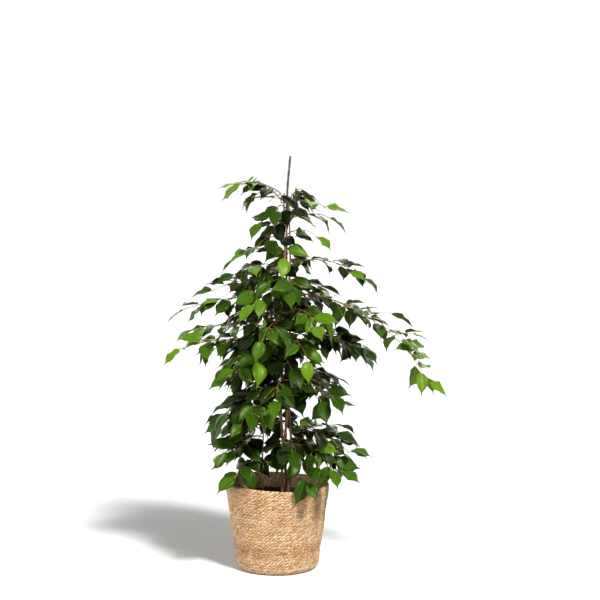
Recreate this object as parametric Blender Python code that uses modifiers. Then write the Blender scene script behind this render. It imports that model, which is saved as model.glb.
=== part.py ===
"""A weeping fig about a metre tall, in a basket of braided plant fibre.

Metres, +Z up. The origin is on the floor, at the middle of the basket's base, and the front faces -Y.
"""

import itertools
import math
import random

import bmesh
import bpy
from mathutils import Matrix, Vector
from mathutils.bvhtree import BVHTree

UP = Vector((0, 0, 1))
FRONT = Vector((0, -1, 0))
FIT_GAP = 0.0003  # between pieces that touch
WELD = 0.00001
SMOOTH_BELOW = math.radians(40)

# Basket: rows of braid sewn on each other in a spiral
BASKET_HEIGHT = 0.205
BASKET_WALL = 0.0065
BASKET_FLOOR = 0.006
BASKET_SIDES = 24
BASKET_OUTLINE = (  # height, outer radius
    (0.000, 0.0900),
    (0.010, 0.0978),
    (0.030, 0.1014),
    (0.050, 0.1022),
    (0.088, 0.1094),
    (0.137, 0.1153),
    (0.186, 0.1230),
    (0.205, 0.1235),
)
INNER_HEIGHTS = (0.012, 0.050, 0.120, 0.204)
ROW_COUNT = 18
ROWS_FROM = 0.010
ROW_RELIEF = 0.0010
RIM_TILT = 0.003  # the rim's left side stands this much higher, and its right side this much lower
RIM_WAVE = 0.0015
DENT_DEPTH = 0.0025
DENT_ANGLE = math.radians(-114)
DENT_HEIGHT = 0.155
DENT_SPREAD = (math.radians(16), 0.03)  # round the basket, and up it

# Liner film, nursery pot and soil
FILM = 0.0006
FILM_TOP = 0.198
POT_SIDES = 20
POT_FOOT = BASKET_FLOOR + FILM + 2 * FIT_GAP
POT_HEIGHT = 0.172
POT_BASE_RADIUS = 0.076
POT_TOP_RADIUS = 0.1035
POT_WALL = 0.0016
POT_LIP = 0.011
POT_LIP_OUT = 0.0025
SOIL_TOP = 0.163
HOLE_SIDES = 8
HOLE_GAP = 0.0006
HOLE_OVERRUN = 0.002  # of a cutter, past both ends of its hole

# Stake and stems
STEM_FOOT = 0.10
STAKE_RADIUS = 0.0025
STAKE_ROUTE = (  # height, x
    (STEM_FOOT, 0.0205),
    (0.50, 0.0208),
    (0.72, 0.0225),
    (0.88, 0.0235),
    (0.986, 0.0315),
)
STEM_TOPS = (0.899, 0.878, 0.890)
STEM_RADII = (0.0038, 0.0016)  # at the foot, and at the top
STEM_REACH = (  # height, distance from the stake
    (SOIL_TOP, 0.0080),
    (0.26, 0.0130),
    (0.50, 0.0105),
    (0.905, 0.0075),
)
STEM_TURNS = 1.4  # in each metre of height
STEM_START = 0.5  # the turn of the first stem's foot
STEM_STEP = 0.070  # between the points of a stem's route
SHOOT_ROUTE = (  # the thinner shoot at the left
    (-0.034, -0.020, STEM_FOOT),
    (-0.034, -0.020, SOIL_TOP),
    (-0.035, -0.021, 0.26),
    (-0.033, -0.024, 0.34),
    (-0.040, -0.030, 0.40),
    (-0.052, -0.040, 0.45),
)
SHOOT_RADII = (0.0022, 0.0014)

# Sprays: start height on the stems, tip, rise after the start, drop to the tip, tone of the leaves
SPRAYS = (
    (0.893, (-0.078, -0.020, 0.922), 0.030, 0.006, "bright"),
    (0.885, (0.060, 0.040, 0.905), 0.015, 0.010, "mid"),
    (0.872, (0.110, -0.030, 0.868), 0.020, 0.010, "bright"),
    (0.876, (-0.042, 0.020, 0.922), 0.025, 0.006, "dark"),
    (0.858, (0.000, -0.065, 0.862), 0.015, 0.015, "dark"),
    (0.850, (0.030, 0.080, 0.850), 0.015, 0.015, "mid"),
    (0.838, (0.120, 0.015, 0.842), 0.015, 0.010, "mid"),
    (0.830, (-0.035, -0.055, 0.832), 0.015, 0.015, "mid"),
    (0.815, (-0.015, 0.088, 0.812), 0.015, 0.020, "dark"),
    (0.803, (0.090, -0.060, 0.800), 0.015, 0.015, "dark"),
    (0.790, (-0.042, -0.080, 0.778), 0.015, 0.020, "dark"),
    (0.768, (0.020, -0.100, 0.755), 0.015, 0.020, "bright"),
    (0.755, (-0.088, 0.000, 0.750), 0.020, 0.015, "bright"),
    (0.745, (0.040, 0.130, 0.738), 0.015, 0.020, "dark"),
    (0.722, (-0.095, -0.060, 0.712), 0.020, 0.020, "dark"),
    (0.730, (0.205, 0.010, 0.696), 0.030, 0.030, "dark"),
    (0.702, (-0.060, 0.145, 0.686), 0.015, 0.020, "mid"),
    (0.695, (0.030, -0.130, 0.675), 0.015, 0.025, "mid"),
    (0.685, (-0.150, 0.010, 0.668), 0.025, 0.015, "dark"),
    (0.677, (0.115, 0.120, 0.657), 0.015, 0.025, "mid"),
    (0.668, (-0.050, -0.140, 0.648), 0.015, 0.025, "bright"),
    (0.660, (0.355, -0.040, 0.456), 0.015, 0.115, "bright"),
    (0.652, (0.205, -0.060, 0.605), 0.025, 0.030, "dark"),
    (0.640, (-0.212, -0.030, 0.628), 0.030, 0.012, "mid"),
    (0.632, (0.020, 0.185, 0.603), 0.015, 0.030, "dark"),
    (0.622, (0.090, -0.142, 0.598), 0.015, 0.030, "bright"),
    (0.610, (-0.120, 0.145, 0.585), 0.015, 0.030, "dark"),
    (0.598, (-0.030, -0.172, 0.570), 0.015, 0.030, "mid"),
    (0.575, (-0.190, 0.000, 0.578), 0.020, 0.008, "bright"),
    (0.580, (0.155, 0.110, 0.520), 0.015, 0.025, "dark"),
    (0.565, (0.222, -0.010, 0.505), 0.020, 0.025, "dark"),
    (0.555, (0.070, -0.172, 0.525), 0.015, 0.030, "bright"),
    (0.545, (-0.224, -0.050, 0.536), 0.020, 0.015, "bright"),
    (0.535, (0.000, 0.190, 0.503), 0.015, 0.030, "mid"),
    (0.520, (-0.095, -0.135, 0.498), 0.015, 0.025, "mid"),
    (0.495, (-0.110, 0.125, 0.470), 0.015, 0.030, "dark"),
    (0.480, (-0.108, -0.040, 0.465), 0.015, 0.020, "mid"),
    (0.470, (0.115, 0.135, 0.435), 0.015, 0.030, "dark"),
    (0.455, (0.000, -0.168, 0.430), 0.015, 0.030, "mid"),
    (0.445, (0.130, -0.060, 0.410), 0.020, 0.030, "dark"),
    (0.430, (-0.060, 0.165, 0.395), 0.015, 0.030, "mid"),
    (0.415, (-0.108, 0.045, 0.385), 0.015, 0.025, "mid"),
    (0.340, (0.168, -0.025, 0.284), 0.012, 0.030, "mid"),
    (0.350, (-0.080, 0.140, 0.296), 0.015, 0.030, "dark"),
    (0.312, (0.150, -0.092, 0.252), 0.015, 0.030, "mid"),
    (0.310, (0.072, -0.122, 0.232), 0.020, 0.030, "mid"),
    (0.290, (0.050, 0.135, 0.250), 0.015, 0.030, "dark"),
)
SHOOT_SPRAYS = (  # the same, from the shoot
    (0.430, (-0.080, -0.130, 0.370), 0.010, 0.030, "mid"),
    (0.390, (-0.112, -0.030, 0.345), 0.015, 0.030, "dark"),
    (0.320, (-0.103, -0.050, 0.275), 0.015, 0.030, "mid"),
    (0.270, (-0.095, -0.092, 0.240), 0.010, 0.020, "mid"),
)
TWIG_RADII = (0.0017, 0.0011)
TWIG_FOOT = 0.004  # the straight piece that leaves the stem
TWIG_HANDLES = (0.35, 0.42)  # of its level reach, how soon it bends and how long it stays up
TWIG_STEP = 0.06
TWIG_POINTS = (3, 8)  # at least, and at most
TWIG_CLEAR = 0.0045  # between the middles of two twigs
TWIG_GAPS = (1, 2, 2.8)  # times the fit gap, tried in turn
TWIG_SWINGS = (0, 5, -5, 10, -10, 16, -16, 23, -23, 30, -30)  # degrees, tried in turn
WALK = 0.001  # steps along a twig

# Leaves
LEAF_LENGTH = 0.069
LEAF_WIDTH = 0.033
PETIOLE = 0.12  # of the leaf's length
PETIOLE_HALF = 0.0007
BLADE_BODY = 0.86  # of the blade's length: the rest is the drip tip
BLADE_SKEW = 0.85  # under 1, the widest place lies nearer the petiole
BLADE_FULLNESS = 0.58  # under 1, the ends are rounder
DRIP_WIDTH = 0.16  # of the blade's width, where the drip tip begins
STATIONS = (0.26, 0.52, 0.81)  # of the leaf's length, where its rings lie
RIB_HALVES = (0.0007, 0.0007, 0.0005)  # half of the blade's thickness there
EDGE_WAVE = 0.0022
EDGE_WAVES = 1.3  # along the blade
EDGE_SHIFT = 1.7  # radians from one edge's waves to the other's
LEAF_SPACING = 0.0294
FIRST_LEAF = 0.018
LEAF_TRIES = 24
LEAF_CLEAR = 0.0006
OWN_TWIG_CLEAR = 0.004
OWN_TWIG_FROM = 0.012  # from the leaf's root

# How leaves differ: each range is (least, most)
SPREADS = (22, 75)  # degrees from the twig's direction
LAST_SPREADS = (0, 20)  # of the leaf at the twig's end
PITCHES = (-22, 30)  # degrees below level
LAST_PITCHES = (-5, 30)
HANG = 18  # more degrees, on a twig that heads straight to the front or the back
LEANS = (-0.1, 0.6)  # of the face, along the twig
TURN_OUT = 0.7  # more of it, on a twig that heads straight to the front or the back
TO_LIGHT = (0.0, 0.7)  # of the face, towards the front
ROLLS = (-0.45, 0.45)  # of the face, away from the twig
SIZES = (0.84, 1.06)  # times the leaf's length
DROOPS = (0.25, 0.85)  # radians that it bends down from root to tip
FOLDS = (6, 24)  # degrees that each half rises from the rib

COLOURS = {  # base colour, roughness
    "jute": ((0.62, 0.44, 0.25), 0.85),
    "film": ((0.75, 0.76, 0.74), 0.15),
    "black_plastic": ((0.02, 0.02, 0.022), 0.4),
    "soil": ((0.045, 0.03, 0.02), 0.95),
    "stake": ((0.09, 0.055, 0.04), 0.8),
    "bark": ((0.22, 0.13, 0.07), 0.8),
    "dark": ((0.025, 0.07, 0.018), 0.4),
    "mid": ((0.045, 0.13, 0.02), 0.4),
    "bright": ((0.13, 0.30, 0.02), 0.42),
}


def clear_scene():
    for obj in list(bpy.data.objects):
        bpy.data.objects.remove(obj, do_unlink=True)


def material(name):
    found = bpy.data.materials.get(name)
    if found:
        return found
    colour, roughness = COLOURS[name]
    made = bpy.data.materials.new(name)
    made.use_nodes = True
    shader = made.node_tree.nodes["Principled BSDF"]
    shader.inputs["Base Color"].default_value = (*colour, 1)
    shader.inputs["Roughness"].default_value = roughness
    shader.inputs["Metallic"].default_value = 0
    return made


def place(name, mesh, colour, collection):
    obj = bpy.data.objects.new(name, mesh)
    mesh.name = name
    mesh.materials.clear()
    mesh.materials.append(material(colour))
    collection.objects.link(obj)
    return obj


def evaluated_mesh(obj):
    """The object's mesh with its modifiers applied. The object itself goes."""
    graph = bpy.context.evaluated_depsgraph_get()
    mesh = bpy.data.meshes.new_from_object(obj.evaluated_get(graph))
    bpy.data.objects.remove(obj, do_unlink=True)
    return mesh


def turned(profile, sides):
    """A solid turned about Z. The profile holds (radius, height) points, its outer side downwards."""
    mesh = bpy.data.meshes.new("profile")
    edges = [(i, i + 1) for i in range(len(profile) - 1)]
    mesh.from_pydata([(radius, 0, height) for radius, height in profile], edges, [])
    obj = bpy.data.objects.new("profile", mesh)
    bpy.context.scene.collection.objects.link(obj)
    screw = obj.modifiers.new("turn", "SCREW")
    screw.steps = screw.render_steps = sides
    screw.use_merge_vertices = True
    screw.merge_threshold = WELD
    return evaluated_mesh(obj)


def tube(points, radii, level=0):
    """A tube along points, with 4 + 2 * level sides and closed ends."""
    curve = bpy.data.curves.new("tube", "CURVE")
    curve.dimensions = "3D"
    curve.bevel_depth = 1
    curve.bevel_resolution = level
    curve.use_fill_caps = True
    spline = curve.splines.new("POLY")
    spline.points.add(len(points) - 1)
    for spot, point, radius in zip(spline.points, points, radii):
        spot.co = (*point, 1)
        spot.radius = radius
    obj = bpy.data.objects.new("tube", curve)
    bpy.context.scene.collection.objects.link(obj)
    mesh = evaluated_mesh(obj)
    bm = bmesh.new()
    bm.from_mesh(mesh)
    bmesh.ops.remove_doubles(bm, verts=bm.verts, dist=WELD)
    bm.to_mesh(mesh)
    bm.free()
    return mesh


def between(table, at):
    """The value at a place in a table of (place, value) rows, by straight lines."""
    for (low, first), (high, second) in zip(table, table[1:]):
        if at <= high:
            share = max(0.0, (at - low) / (high - low))
            return first + (second - first) * share
    return table[-1][1]


def slump(mesh):
    """Gives the turned basket, or its liner, a tilted and waved rim and a dent in its front."""
    for vertex in mesh.vertices:
        point = vertex.co
        angle = math.atan2(point.y, point.x)
        reach = math.hypot(point.x, point.y)
        if reach > POT_BASE_RADIUS:
            off = math.remainder(angle - DENT_ANGLE, math.tau) / DENT_SPREAD[0]
            above = (point.z - DENT_HEIGHT) / DENT_SPREAD[1]
            factor = 1 - DENT_DEPTH * math.exp(-off * off - above * above) / reach
            point.x *= factor
            point.y *= factor
        lift = RIM_WAVE * math.sin(3 * angle + 1) - RIM_TILT * math.cos(angle)
        point.z += lift * (point.z / BASKET_HEIGHT) ** 2


def inner_radius(height):
    """The basket's inner radius, upright from the floor to the first of the inner heights."""
    table = [(at, between(BASKET_OUTLINE, at) - BASKET_WALL) for at in INNER_HEIGHTS]
    return between(table, height)


def make_basket(parts):
    row_height = (BASKET_HEIGHT - ROWS_FROM) / ROW_COUNT
    profile = [(0, BASKET_FLOOR)]
    profile += [(inner_radius(height), height) for height in (BASKET_FLOOR, *INNER_HEIGHTS)]
    profile.append((BASKET_OUTLINE[-1][1] - BASKET_WALL / 2, BASKET_HEIGHT))
    for row in reversed(range(ROW_COUNT)):
        crest = ROWS_FROM + (row + 0.5) * row_height
        valley = ROWS_FROM + row * row_height
        profile.append((between(BASKET_OUTLINE, crest) + ROW_RELIEF, crest))
        profile.append((between(BASKET_OUTLINE, valley) - ROW_RELIEF, valley))
    profile += [(BASKET_OUTLINE[0][1], 0), (0, 0)]
    mesh = turned(profile, BASKET_SIDES)
    slump(mesh)
    place("basket", mesh, "jute", parts)


def make_liner(parts):
    base = BASKET_FLOOR + FIT_GAP
    heights = (base, *INNER_HEIGHTS[:-1], FILM_TOP)
    outside = [(inner_radius(height) - FIT_GAP, height) for height in heights]
    inside = [(radius - FILM, max(height, base + FILM)) for radius, height in outside]
    profile = [(0, base + FILM), *inside, *reversed(outside), (0, base)]
    mesh = turned(profile, BASKET_SIDES)
    slump(mesh)
    place("basket_liner", mesh, "film", parts)


def pot_radius(height):
    return between(((POT_FOOT, POT_BASE_RADIUS), (POT_HEIGHT, POT_TOP_RADIUS)), height)


def make_pot(parts):
    floor = POT_FOOT + POT_WALL
    under_lip = POT_HEIGHT - POT_LIP
    lip = POT_TOP_RADIUS + POT_LIP_OUT
    profile = (
        (0, floor),
        (pot_radius(floor) - POT_WALL, floor),
        (POT_TOP_RADIUS - POT_WALL, POT_HEIGHT),
        (lip, POT_HEIGHT),
        (lip, under_lip),
        (pot_radius(under_lip), under_lip),
        (POT_BASE_RADIUS, POT_FOOT),
        (0, POT_FOOT),
    )
    place("nursery_pot", turned(profile, POT_SIDES), "black_plastic", parts)


def make_soil(parts, rods):
    """The soil, with a plain hole for each rod that stands in it."""
    base = POT_FOOT + POT_WALL + FIT_GAP
    wall = POT_WALL + 2 * FIT_GAP
    profile = (
        (0, SOIL_TOP),
        (pot_radius(SOIL_TOP) - wall, SOIL_TOP),
        (pot_radius(base) - wall, base),
        (0, base),
    )
    soil = place("soil", turned(profile, POT_SIDES), "soil", parts)
    cutters = new_collection("cutters")
    low, high = STEM_FOOT - HOLE_OVERRUN, SOIL_TOP + HOLE_OVERRUN
    for rod in rods:
        foot = rod.points[0]
        bm = bmesh.new()
        bmesh.ops.create_cone(
            bm,
            cap_ends=True,
            segments=HOLE_SIDES,
            radius1=rod.radii[0] + HOLE_GAP,
            radius2=rod.radii[0] + HOLE_GAP,
            depth=high - low,
            matrix=Matrix.Translation((foot.x, foot.y, (low + high) / 2)),
        )
        mesh = bpy.data.meshes.new("hole")
        bm.to_mesh(mesh)
        bm.free()
        place("hole", mesh, "soil", cutters)
    join(soil, cutters, "DIFFERENCE")


def new_collection(name):
    made = bpy.data.collections.new(name)
    bpy.context.scene.collection.children.link(made)
    return made


def join(obj, others, operation):
    """Applies one Boolean with all the objects of a collection, which then go."""
    for solver in ("EXACT", "MANIFOLD"):
        modifier = obj.modifiers.new("join", "BOOLEAN")
        modifier.operation = operation
        modifier.operand_type = "COLLECTION"
        modifier.collection = others
        modifier.solver = solver
        if solver == "EXACT":
            modifier.material_mode = "TRANSFER"
        graph = bpy.context.evaluated_depsgraph_get()
        mesh = bpy.data.meshes.new_from_object(obj.evaluated_get(graph))
        obj.modifiers.clear()
        if one_closed_body(mesh):
            break
    obj.data = mesh
    for other in list(others.objects):
        bpy.data.objects.remove(other, do_unlink=True)
    bpy.data.collections.remove(others)


def one_closed_body(mesh):
    bm = bmesh.new()
    bm.from_mesh(mesh)
    bm.verts.ensure_lookup_table()
    closed = all(edge.is_manifold for edge in bm.edges)
    reached = set()
    waiting = [bm.verts[0]]
    while waiting:
        vertex = waiting.pop()
        if vertex not in reached:
            reached.add(vertex)
            waiting += [edge.other_vert(vertex) for edge in vertex.link_edges]
    whole = len(reached) == len(bm.verts)
    bm.free()
    return closed and whole


class Rod:
    """A round rod's centre line, which answers where it is at a height and how thick it is there."""

    def __init__(self, points, radii):
        self.points = [Vector(point) for point in points]
        self.radii = even_steps(radii, len(self.points))

    def at(self, height):
        rows = zip(self.points, self.points[1:], self.radii, self.radii[1:])
        for low, high, first, second in rows:
            if height <= high.z:
                break
        share = min(1.0, (height - low.z) / (high.z - low.z))
        return low.lerp(high, share), first + (second - first) * share

    def mesh(self):
        return tube(self.points, self.radii, 1)


def even_steps(ends, count):
    """As many values as asked for, from one end's value to the other's."""
    return [ends[0] + (ends[1] - ends[0]) * i / (count - 1) for i in range(count)]


def make_stake():
    return Rod([(x, 0, height) for height, x in STAKE_ROUTE], (STAKE_RADIUS, STAKE_RADIUS))


def make_stems():
    """The three wound stems, each straight where it stands in the soil."""
    stems = []
    for index, top in enumerate(STEM_TOPS):
        count = round((top - SOIL_TOP) / STEM_STEP)
        points = []
        for height in (STEM_FOOT, *even_steps((SOIL_TOP, top), count + 1)):
            above = max(height, SOIL_TOP)
            turns = STEM_START + index / len(STEM_TOPS) + STEM_TURNS * (above - SOIL_TOP)
            angle = math.tau * turns
            reach = between(STEM_REACH, above)
            middle = between(STAKE_ROUTE, above)
            points.append((middle + reach * math.cos(angle), reach * math.sin(angle), height))
        stems.append(Rod(points, STEM_RADII))
    return stems


def twig_points(stem, row, swing, gap):
    """A twig's points: it leaves its stem square, rises a little, swings aside and weeps to its tip."""
    height, tip, rise, drop, _ = row
    tip = Vector(tip)
    root, thickness = stem.at(height)
    out = Vector((tip.x - root.x, tip.y - root.y, 0)).normalized()
    start = root + out * (thickness + gap)
    level = Vector((tip.x - start.x, tip.y - start.y, 0))
    side = Matrix.Rotation(math.radians(swing), 3, "Z") @ level
    first = start + side * TWIG_HANDLES[0] + UP * rise
    second = start + (side + level) * TWIG_HANDLES[1] + UP * (tip.z - start.z + drop)
    count = round(level.length / TWIG_STEP) + 1
    count = max(TWIG_POINTS[0], min(TWIG_POINTS[1], count))
    points = [start, start + out * TWIG_FOOT]
    for i in range(1, count + 1):
        t = i / count
        u = 1 - t
        points.append(
            start * u**3 + first * (3 * u * u * t) + second * (3 * u * t * t) + tip * t**3
        )
    return points


def twig_mesh(points):
    return tube(points, even_steps(TWIG_RADII, len(points)))


def samples(points, step):
    """Points a step apart along a line of points."""
    made = []
    for low, high in zip(points, points[1:]):
        count = max(1, round((high - low).length / step))
        made += [low.lerp(high, i / count) for i in range(count)]
    return [*made, points[-1]]


def stems_facing(stems, row):
    """The stems that a twig can start from, the nearest to its tip first, so that it passes no other."""
    height, tip = row[0], Vector(row[1])
    middle = Vector((between(STAKE_ROUTE, height), 0, height))

    def facing(stem):
        return (stem.at(height)[0] - middle).normalized().dot((tip - middle).normalized())

    reachable = [stem for stem in stems if stem.points[-1].z >= height]
    return sorted(reachable, key=facing, reverse=True)


class Space:
    """What is built so far, to keep new pieces clear of it."""

    def __init__(self):
        self.shapes = []

    def add(self, points, faces, owner):
        self.shapes.append((bounds(points), BVHTree.FromPolygons(points, faces), owner))

    def is_clear(self, points, faces, owner):
        """Whether a shape crosses nothing but its own owner's shapes."""
        low, high = bounds(points)
        tree = BVHTree.FromPolygons(points, faces)
        for (other_low, other_high), other, other_owner in self.shapes:
            apart = any(low[i] > other_high[i] or high[i] < other_low[i] for i in range(3))
            if not apart and other_owner != owner and tree.overlap(other):
                return False
        return True


def bounds(points):
    return [[pick(point[i] for point in points) for i in range(3)] for pick in (min, max)]


def points_and_faces(mesh):
    points = [vertex.co[:] for vertex in mesh.vertices]
    return points, [face.vertices[:] for face in mesh.polygons]


def outline(along):
    """The blade's width as a share of its greatest, from 0 at the petiole to 1 at the drip tip's end."""
    body = math.sin(math.pi * min(along / BLADE_BODY, 1.0) ** BLADE_SKEW) ** BLADE_FULLNESS
    drip = DRIP_WIDTH * min(1.0, (1 - along) / (1 - BLADE_BODY)) * min(1.0, along * 4)
    return max(body, drip)


class Leaf:
    """One leaf: where its root and its axes are, and how it droops, folds and waves."""

    def __init__(self, root, along, face, length, droop, fold, phase):
        across = face.cross(along).normalized()
        face = along.cross(across).normalized()
        turn = Matrix((along, across, face)).transposed().to_4x4()
        self.matrix = Matrix.Translation(root) @ turn
        self.length = length
        self.half_width = LEAF_WIDTH / 2 * length / LEAF_LENGTH
        self.droop = droop
        self.fold = fold
        self.phase = phase

    def spot(self, share, aside, lift):
        """A point of the leaf, from its share of the length, distance aside and height over the middle."""
        angle = self.droop * share
        radius = self.length / self.droop
        centre = Vector((radius * math.sin(angle), aside, radius * (math.cos(angle) - 1)))
        return self.matrix @ (centre + Vector((math.sin(angle), 0, math.cos(angle))) * lift)

    def edge(self, share, side):
        """An edge point's distance to the side, and its lift."""
        along = (share - PETIOLE) / (1 - PETIOLE)
        width = outline(along)
        wave = math.sin(math.tau * EDGE_WAVES * along + self.phase + EDGE_SHIFT * side)
        half = self.half_width * width
        lift = half * math.sin(self.fold) + EDGE_WAVE * width * wave
        return side * half * math.cos(self.fold), lift

    def solid(self):
        """A loft's points and faces: a three-sided petiole, then thin diamonds, split alike on both faces."""
        half = PETIOLE_HALF
        stalk = ((-half, half * 0.6), (half, half * 0.6), (0, -half))
        points = [self.spot(share, *row) for share in (0, PETIOLE) for row in stalk]
        for share, rib in zip(STATIONS, RIB_HALVES):
            left, right = self.edge(share, -1), self.edge(share, 1)
            points += [self.spot(share, *row) for row in (left, (0, rib), right, (0, -rib))]
        points.append(self.spot(1, 0, 0))
        tip = len(points) - 1
        faces = [(2, 1, 0), (0, 1, 4, 3), (1, 2, 5, 4), (2, 0, 3, 5)]
        faces += [(3, 4, 7), (3, 7, 6), (4, 8, 7), (5, 3, 6), (5, 6, 9), (5, 9, 8), (5, 8, 4)]
        for a in range(6, tip - 4, 4):
            left, top, right, under = range(a, a + 4)
            faces += [(left, top, top + 4), (left, top + 4, left + 4)]
            faces += [(right, top + 4, top), (right, right + 4, top + 4)]
            faces += [(left, under + 4, under), (left, left + 4, under + 4)]
            faces += [(right, under, under + 4), (right, under + 4, right + 4)]
        left, top, right, under = range(tip - 4, tip)
        faces += [(left, top, tip), (top, right, tip), (right, under, tip), (under, left, tip)]
        return points, faces

    def hull(self):
        """The points and faces of a plain six-sided shell that stands a little off the leaf all round."""
        off = LEAF_CLEAR
        points = []
        for share, rib in zip((0, PETIOLE, *STATIONS), (PETIOLE_HALF,) * 2 + RIB_HALVES):
            left, right = (-PETIOLE_HALF, 0), (PETIOLE_HALF, 0)
            if share > PETIOLE:
                left, right = self.edge(share, -1), self.edge(share, 1)
            over, under = (0, rib + off), (0, -rib - off)
            ring = [(left[0] - off, left[1] + off), over, (right[0] + off, right[1] + off)]
            ring += [(right[0] + off, right[1] - off), under, (left[0] - off, left[1] - off)]
            points += [self.spot(share, *row) for row in ring]
        tip = len(points)
        points.append(self.spot(1 + off / self.length, 0, 0))
        turn = [(k, (k + 1) % 6) for k in range(6)]
        faces = [(a + i, a + j, a + 6 + j, a + 6 + i) for a in range(0, tip - 6, 6) for i, j in turn]
        faces += [(tip - 6 + i, tip - 6 + j, tip) for i, j in turn]
        return points, faces

    def clears(self, line):
        """Whether the blade stands off its own twig, apart from its root."""
        blade = [self.spot(share, 0, 0) for share in (*STATIONS, 1)]
        for share in STATIONS:
            blade += [self.spot(share, *self.edge(share, side)) for side in (-1, 1)]
        root = self.matrix.translation
        away = [point for point in line if (point - root).length > OWN_TWIG_FROM]
        return all((point - other).length > OWN_TWIG_CLEAR for point in blade for other in away)


def draw_leaf(root, forward, last, number, draw):
    """A leaf as it might sit on a twig: to one side by turns, or onwards at the twig's end."""
    level = Vector((forward.x, forward.y, 0)).normalized()
    side = level.cross(UP) * (1 if number % 2 else -1)
    spread = math.radians(draw.uniform(*(LAST_SPREADS if last else SPREADS)))
    heading = level * math.cos(spread) + side * math.sin(spread)
    pitch = math.radians(draw.uniform(*(LAST_PITCHES if last else PITCHES)) + HANG * abs(level.y))
    along = (heading * math.cos(pitch) - UP * math.sin(pitch)).normalized()
    lean = draw.uniform(*LEANS) + TURN_OUT * abs(level.y)
    face = UP + level * lean + side * draw.uniform(*ROLLS) + FRONT * draw.uniform(*TO_LIGHT)
    length = LEAF_LENGTH * draw.uniform(*SIZES)
    droop = draw.uniform(*DROOPS)
    fold = math.radians(draw.uniform(*FOLDS))
    return Leaf(root, along, face, length, droop, fold, draw.uniform(0, math.tau))


def leaf_roots(points):
    """Where the leaves of a twig sit: the spot, the twig's direction, and whether it is the last one."""
    line = samples(points, WALK)
    end = len(line) - 1
    first = round(FIRST_LEAF / WALK)
    count = max(2, round((end - first) * WALK / LEAF_SPACING))
    roots = []
    for i in range(count + 1):
        index = first + round((end - 2 - first) * i / count)
        forward = (line[min(index + 2, end)] - line[index - 4]).normalized()
        roots.append((line[index], forward, i == count))
    return roots


def grow_leaves(name, points, space):
    """The leaves of one spray that find room. Each place on the twig has a seed of its own."""
    line = samples(points, 6 * WALK)
    grown = []
    for number, root in enumerate(leaf_roots(points)):
        draw = random.Random(f"{name} {number}")
        for _ in range(LEAF_TRIES):
            leaf = draw_leaf(*root, number, draw)
            shape = leaf.hull()
            if space.is_clear(*shape, name) and leaf.clears(line):
                space.add(*shape, f"{name} leaf")
                grown.append(leaf)
                break
    return grown


def make_spray(name, points, tone, leaves, parts):
    """One twig with its leaves, fused into one body."""
    twig = place(name, twig_mesh(points), "bark", parts)
    blades = new_collection(f"{name} blades")
    for leaf in leaves:
        mesh = bpy.data.meshes.new("leaf")
        vertices, faces = leaf.solid()
        mesh.from_pydata(vertices, [], faces)
        place("leaf", mesh, tone, blades)
    join(twig, blades, "UNION")


def route_twigs(stems, shoot, space):
    """The name, points and tone of each twig, each swung until it is clear of what is there."""
    rows = [(stems_facing(stems, row), row) for row in SPRAYS]
    rows += [([shoot], row) for row in SHOOT_SPRAYS]
    twigs = []
    taken = []
    for number, (carriers, row) in enumerate(rows, 1):
        for stem, swing, gaps in itertools.product(carriers, TWIG_SWINGS, TWIG_GAPS):
            points = twig_points(stem, row, swing, gaps * FIT_GAP)
            line = samples(points, 3 * WALK)
            near = any((one - other).length < TWIG_CLEAR for one in line for other in taken)
            shape = points_and_faces(twig_mesh(points))
            if not near and space.is_clear(*shape, None):
                break
        name = f"spray_{number:02d}"
        space.add(*shape, name)
        taken += line
        twigs.append((name, points, row[-1]))
    return twigs


def main():
    clear_scene()
    parts = new_collection("weeping fig in basket")

    make_basket(parts)
    make_liner(parts)
    make_pot(parts)

    stake = make_stake()
    stems = make_stems()
    shoot = Rod(SHOOT_ROUTE, SHOOT_RADII)
    place("stake", stake.mesh(), "stake", parts)
    place("shoot", shoot.mesh(), "bark", parts)
    for number, stem in enumerate(stems, 1):
        place(f"stem_{number}", stem.mesh(), "bark", parts)
    make_soil(parts, [stake, shoot, *stems])

    space = Space()
    for obj in parts.objects:
        space.add(*points_and_faces(obj.data), obj.name)
    for name, points, tone in route_twigs(stems, shoot, space):
        make_spray(name, points, tone, grow_leaves(name, points, space), parts)

    for obj in parts.objects:
        obj.data.shade_smooth()
        obj.data.set_sharp_from_angle(angle=SMOOTH_BELOW)


main()
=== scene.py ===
"""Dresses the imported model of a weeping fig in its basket.

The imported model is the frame. The sprays grow again by the rule that placed their solid leaves, so
each finer leaf lies where a solid one is. Side shoots and more leaves fill the room between them.
Metres, +Z up. The front faces -Y. Routes and tables of heights run upwards.
"""

import functools
import itertools
import math
import random

import bmesh
import bpy
from bpy.props import FloatProperty, FloatVectorProperty, IntProperty, PointerProperty
from mathutils import Matrix, Vector, noise
from mathutils.bvhtree import BVHTree


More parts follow.
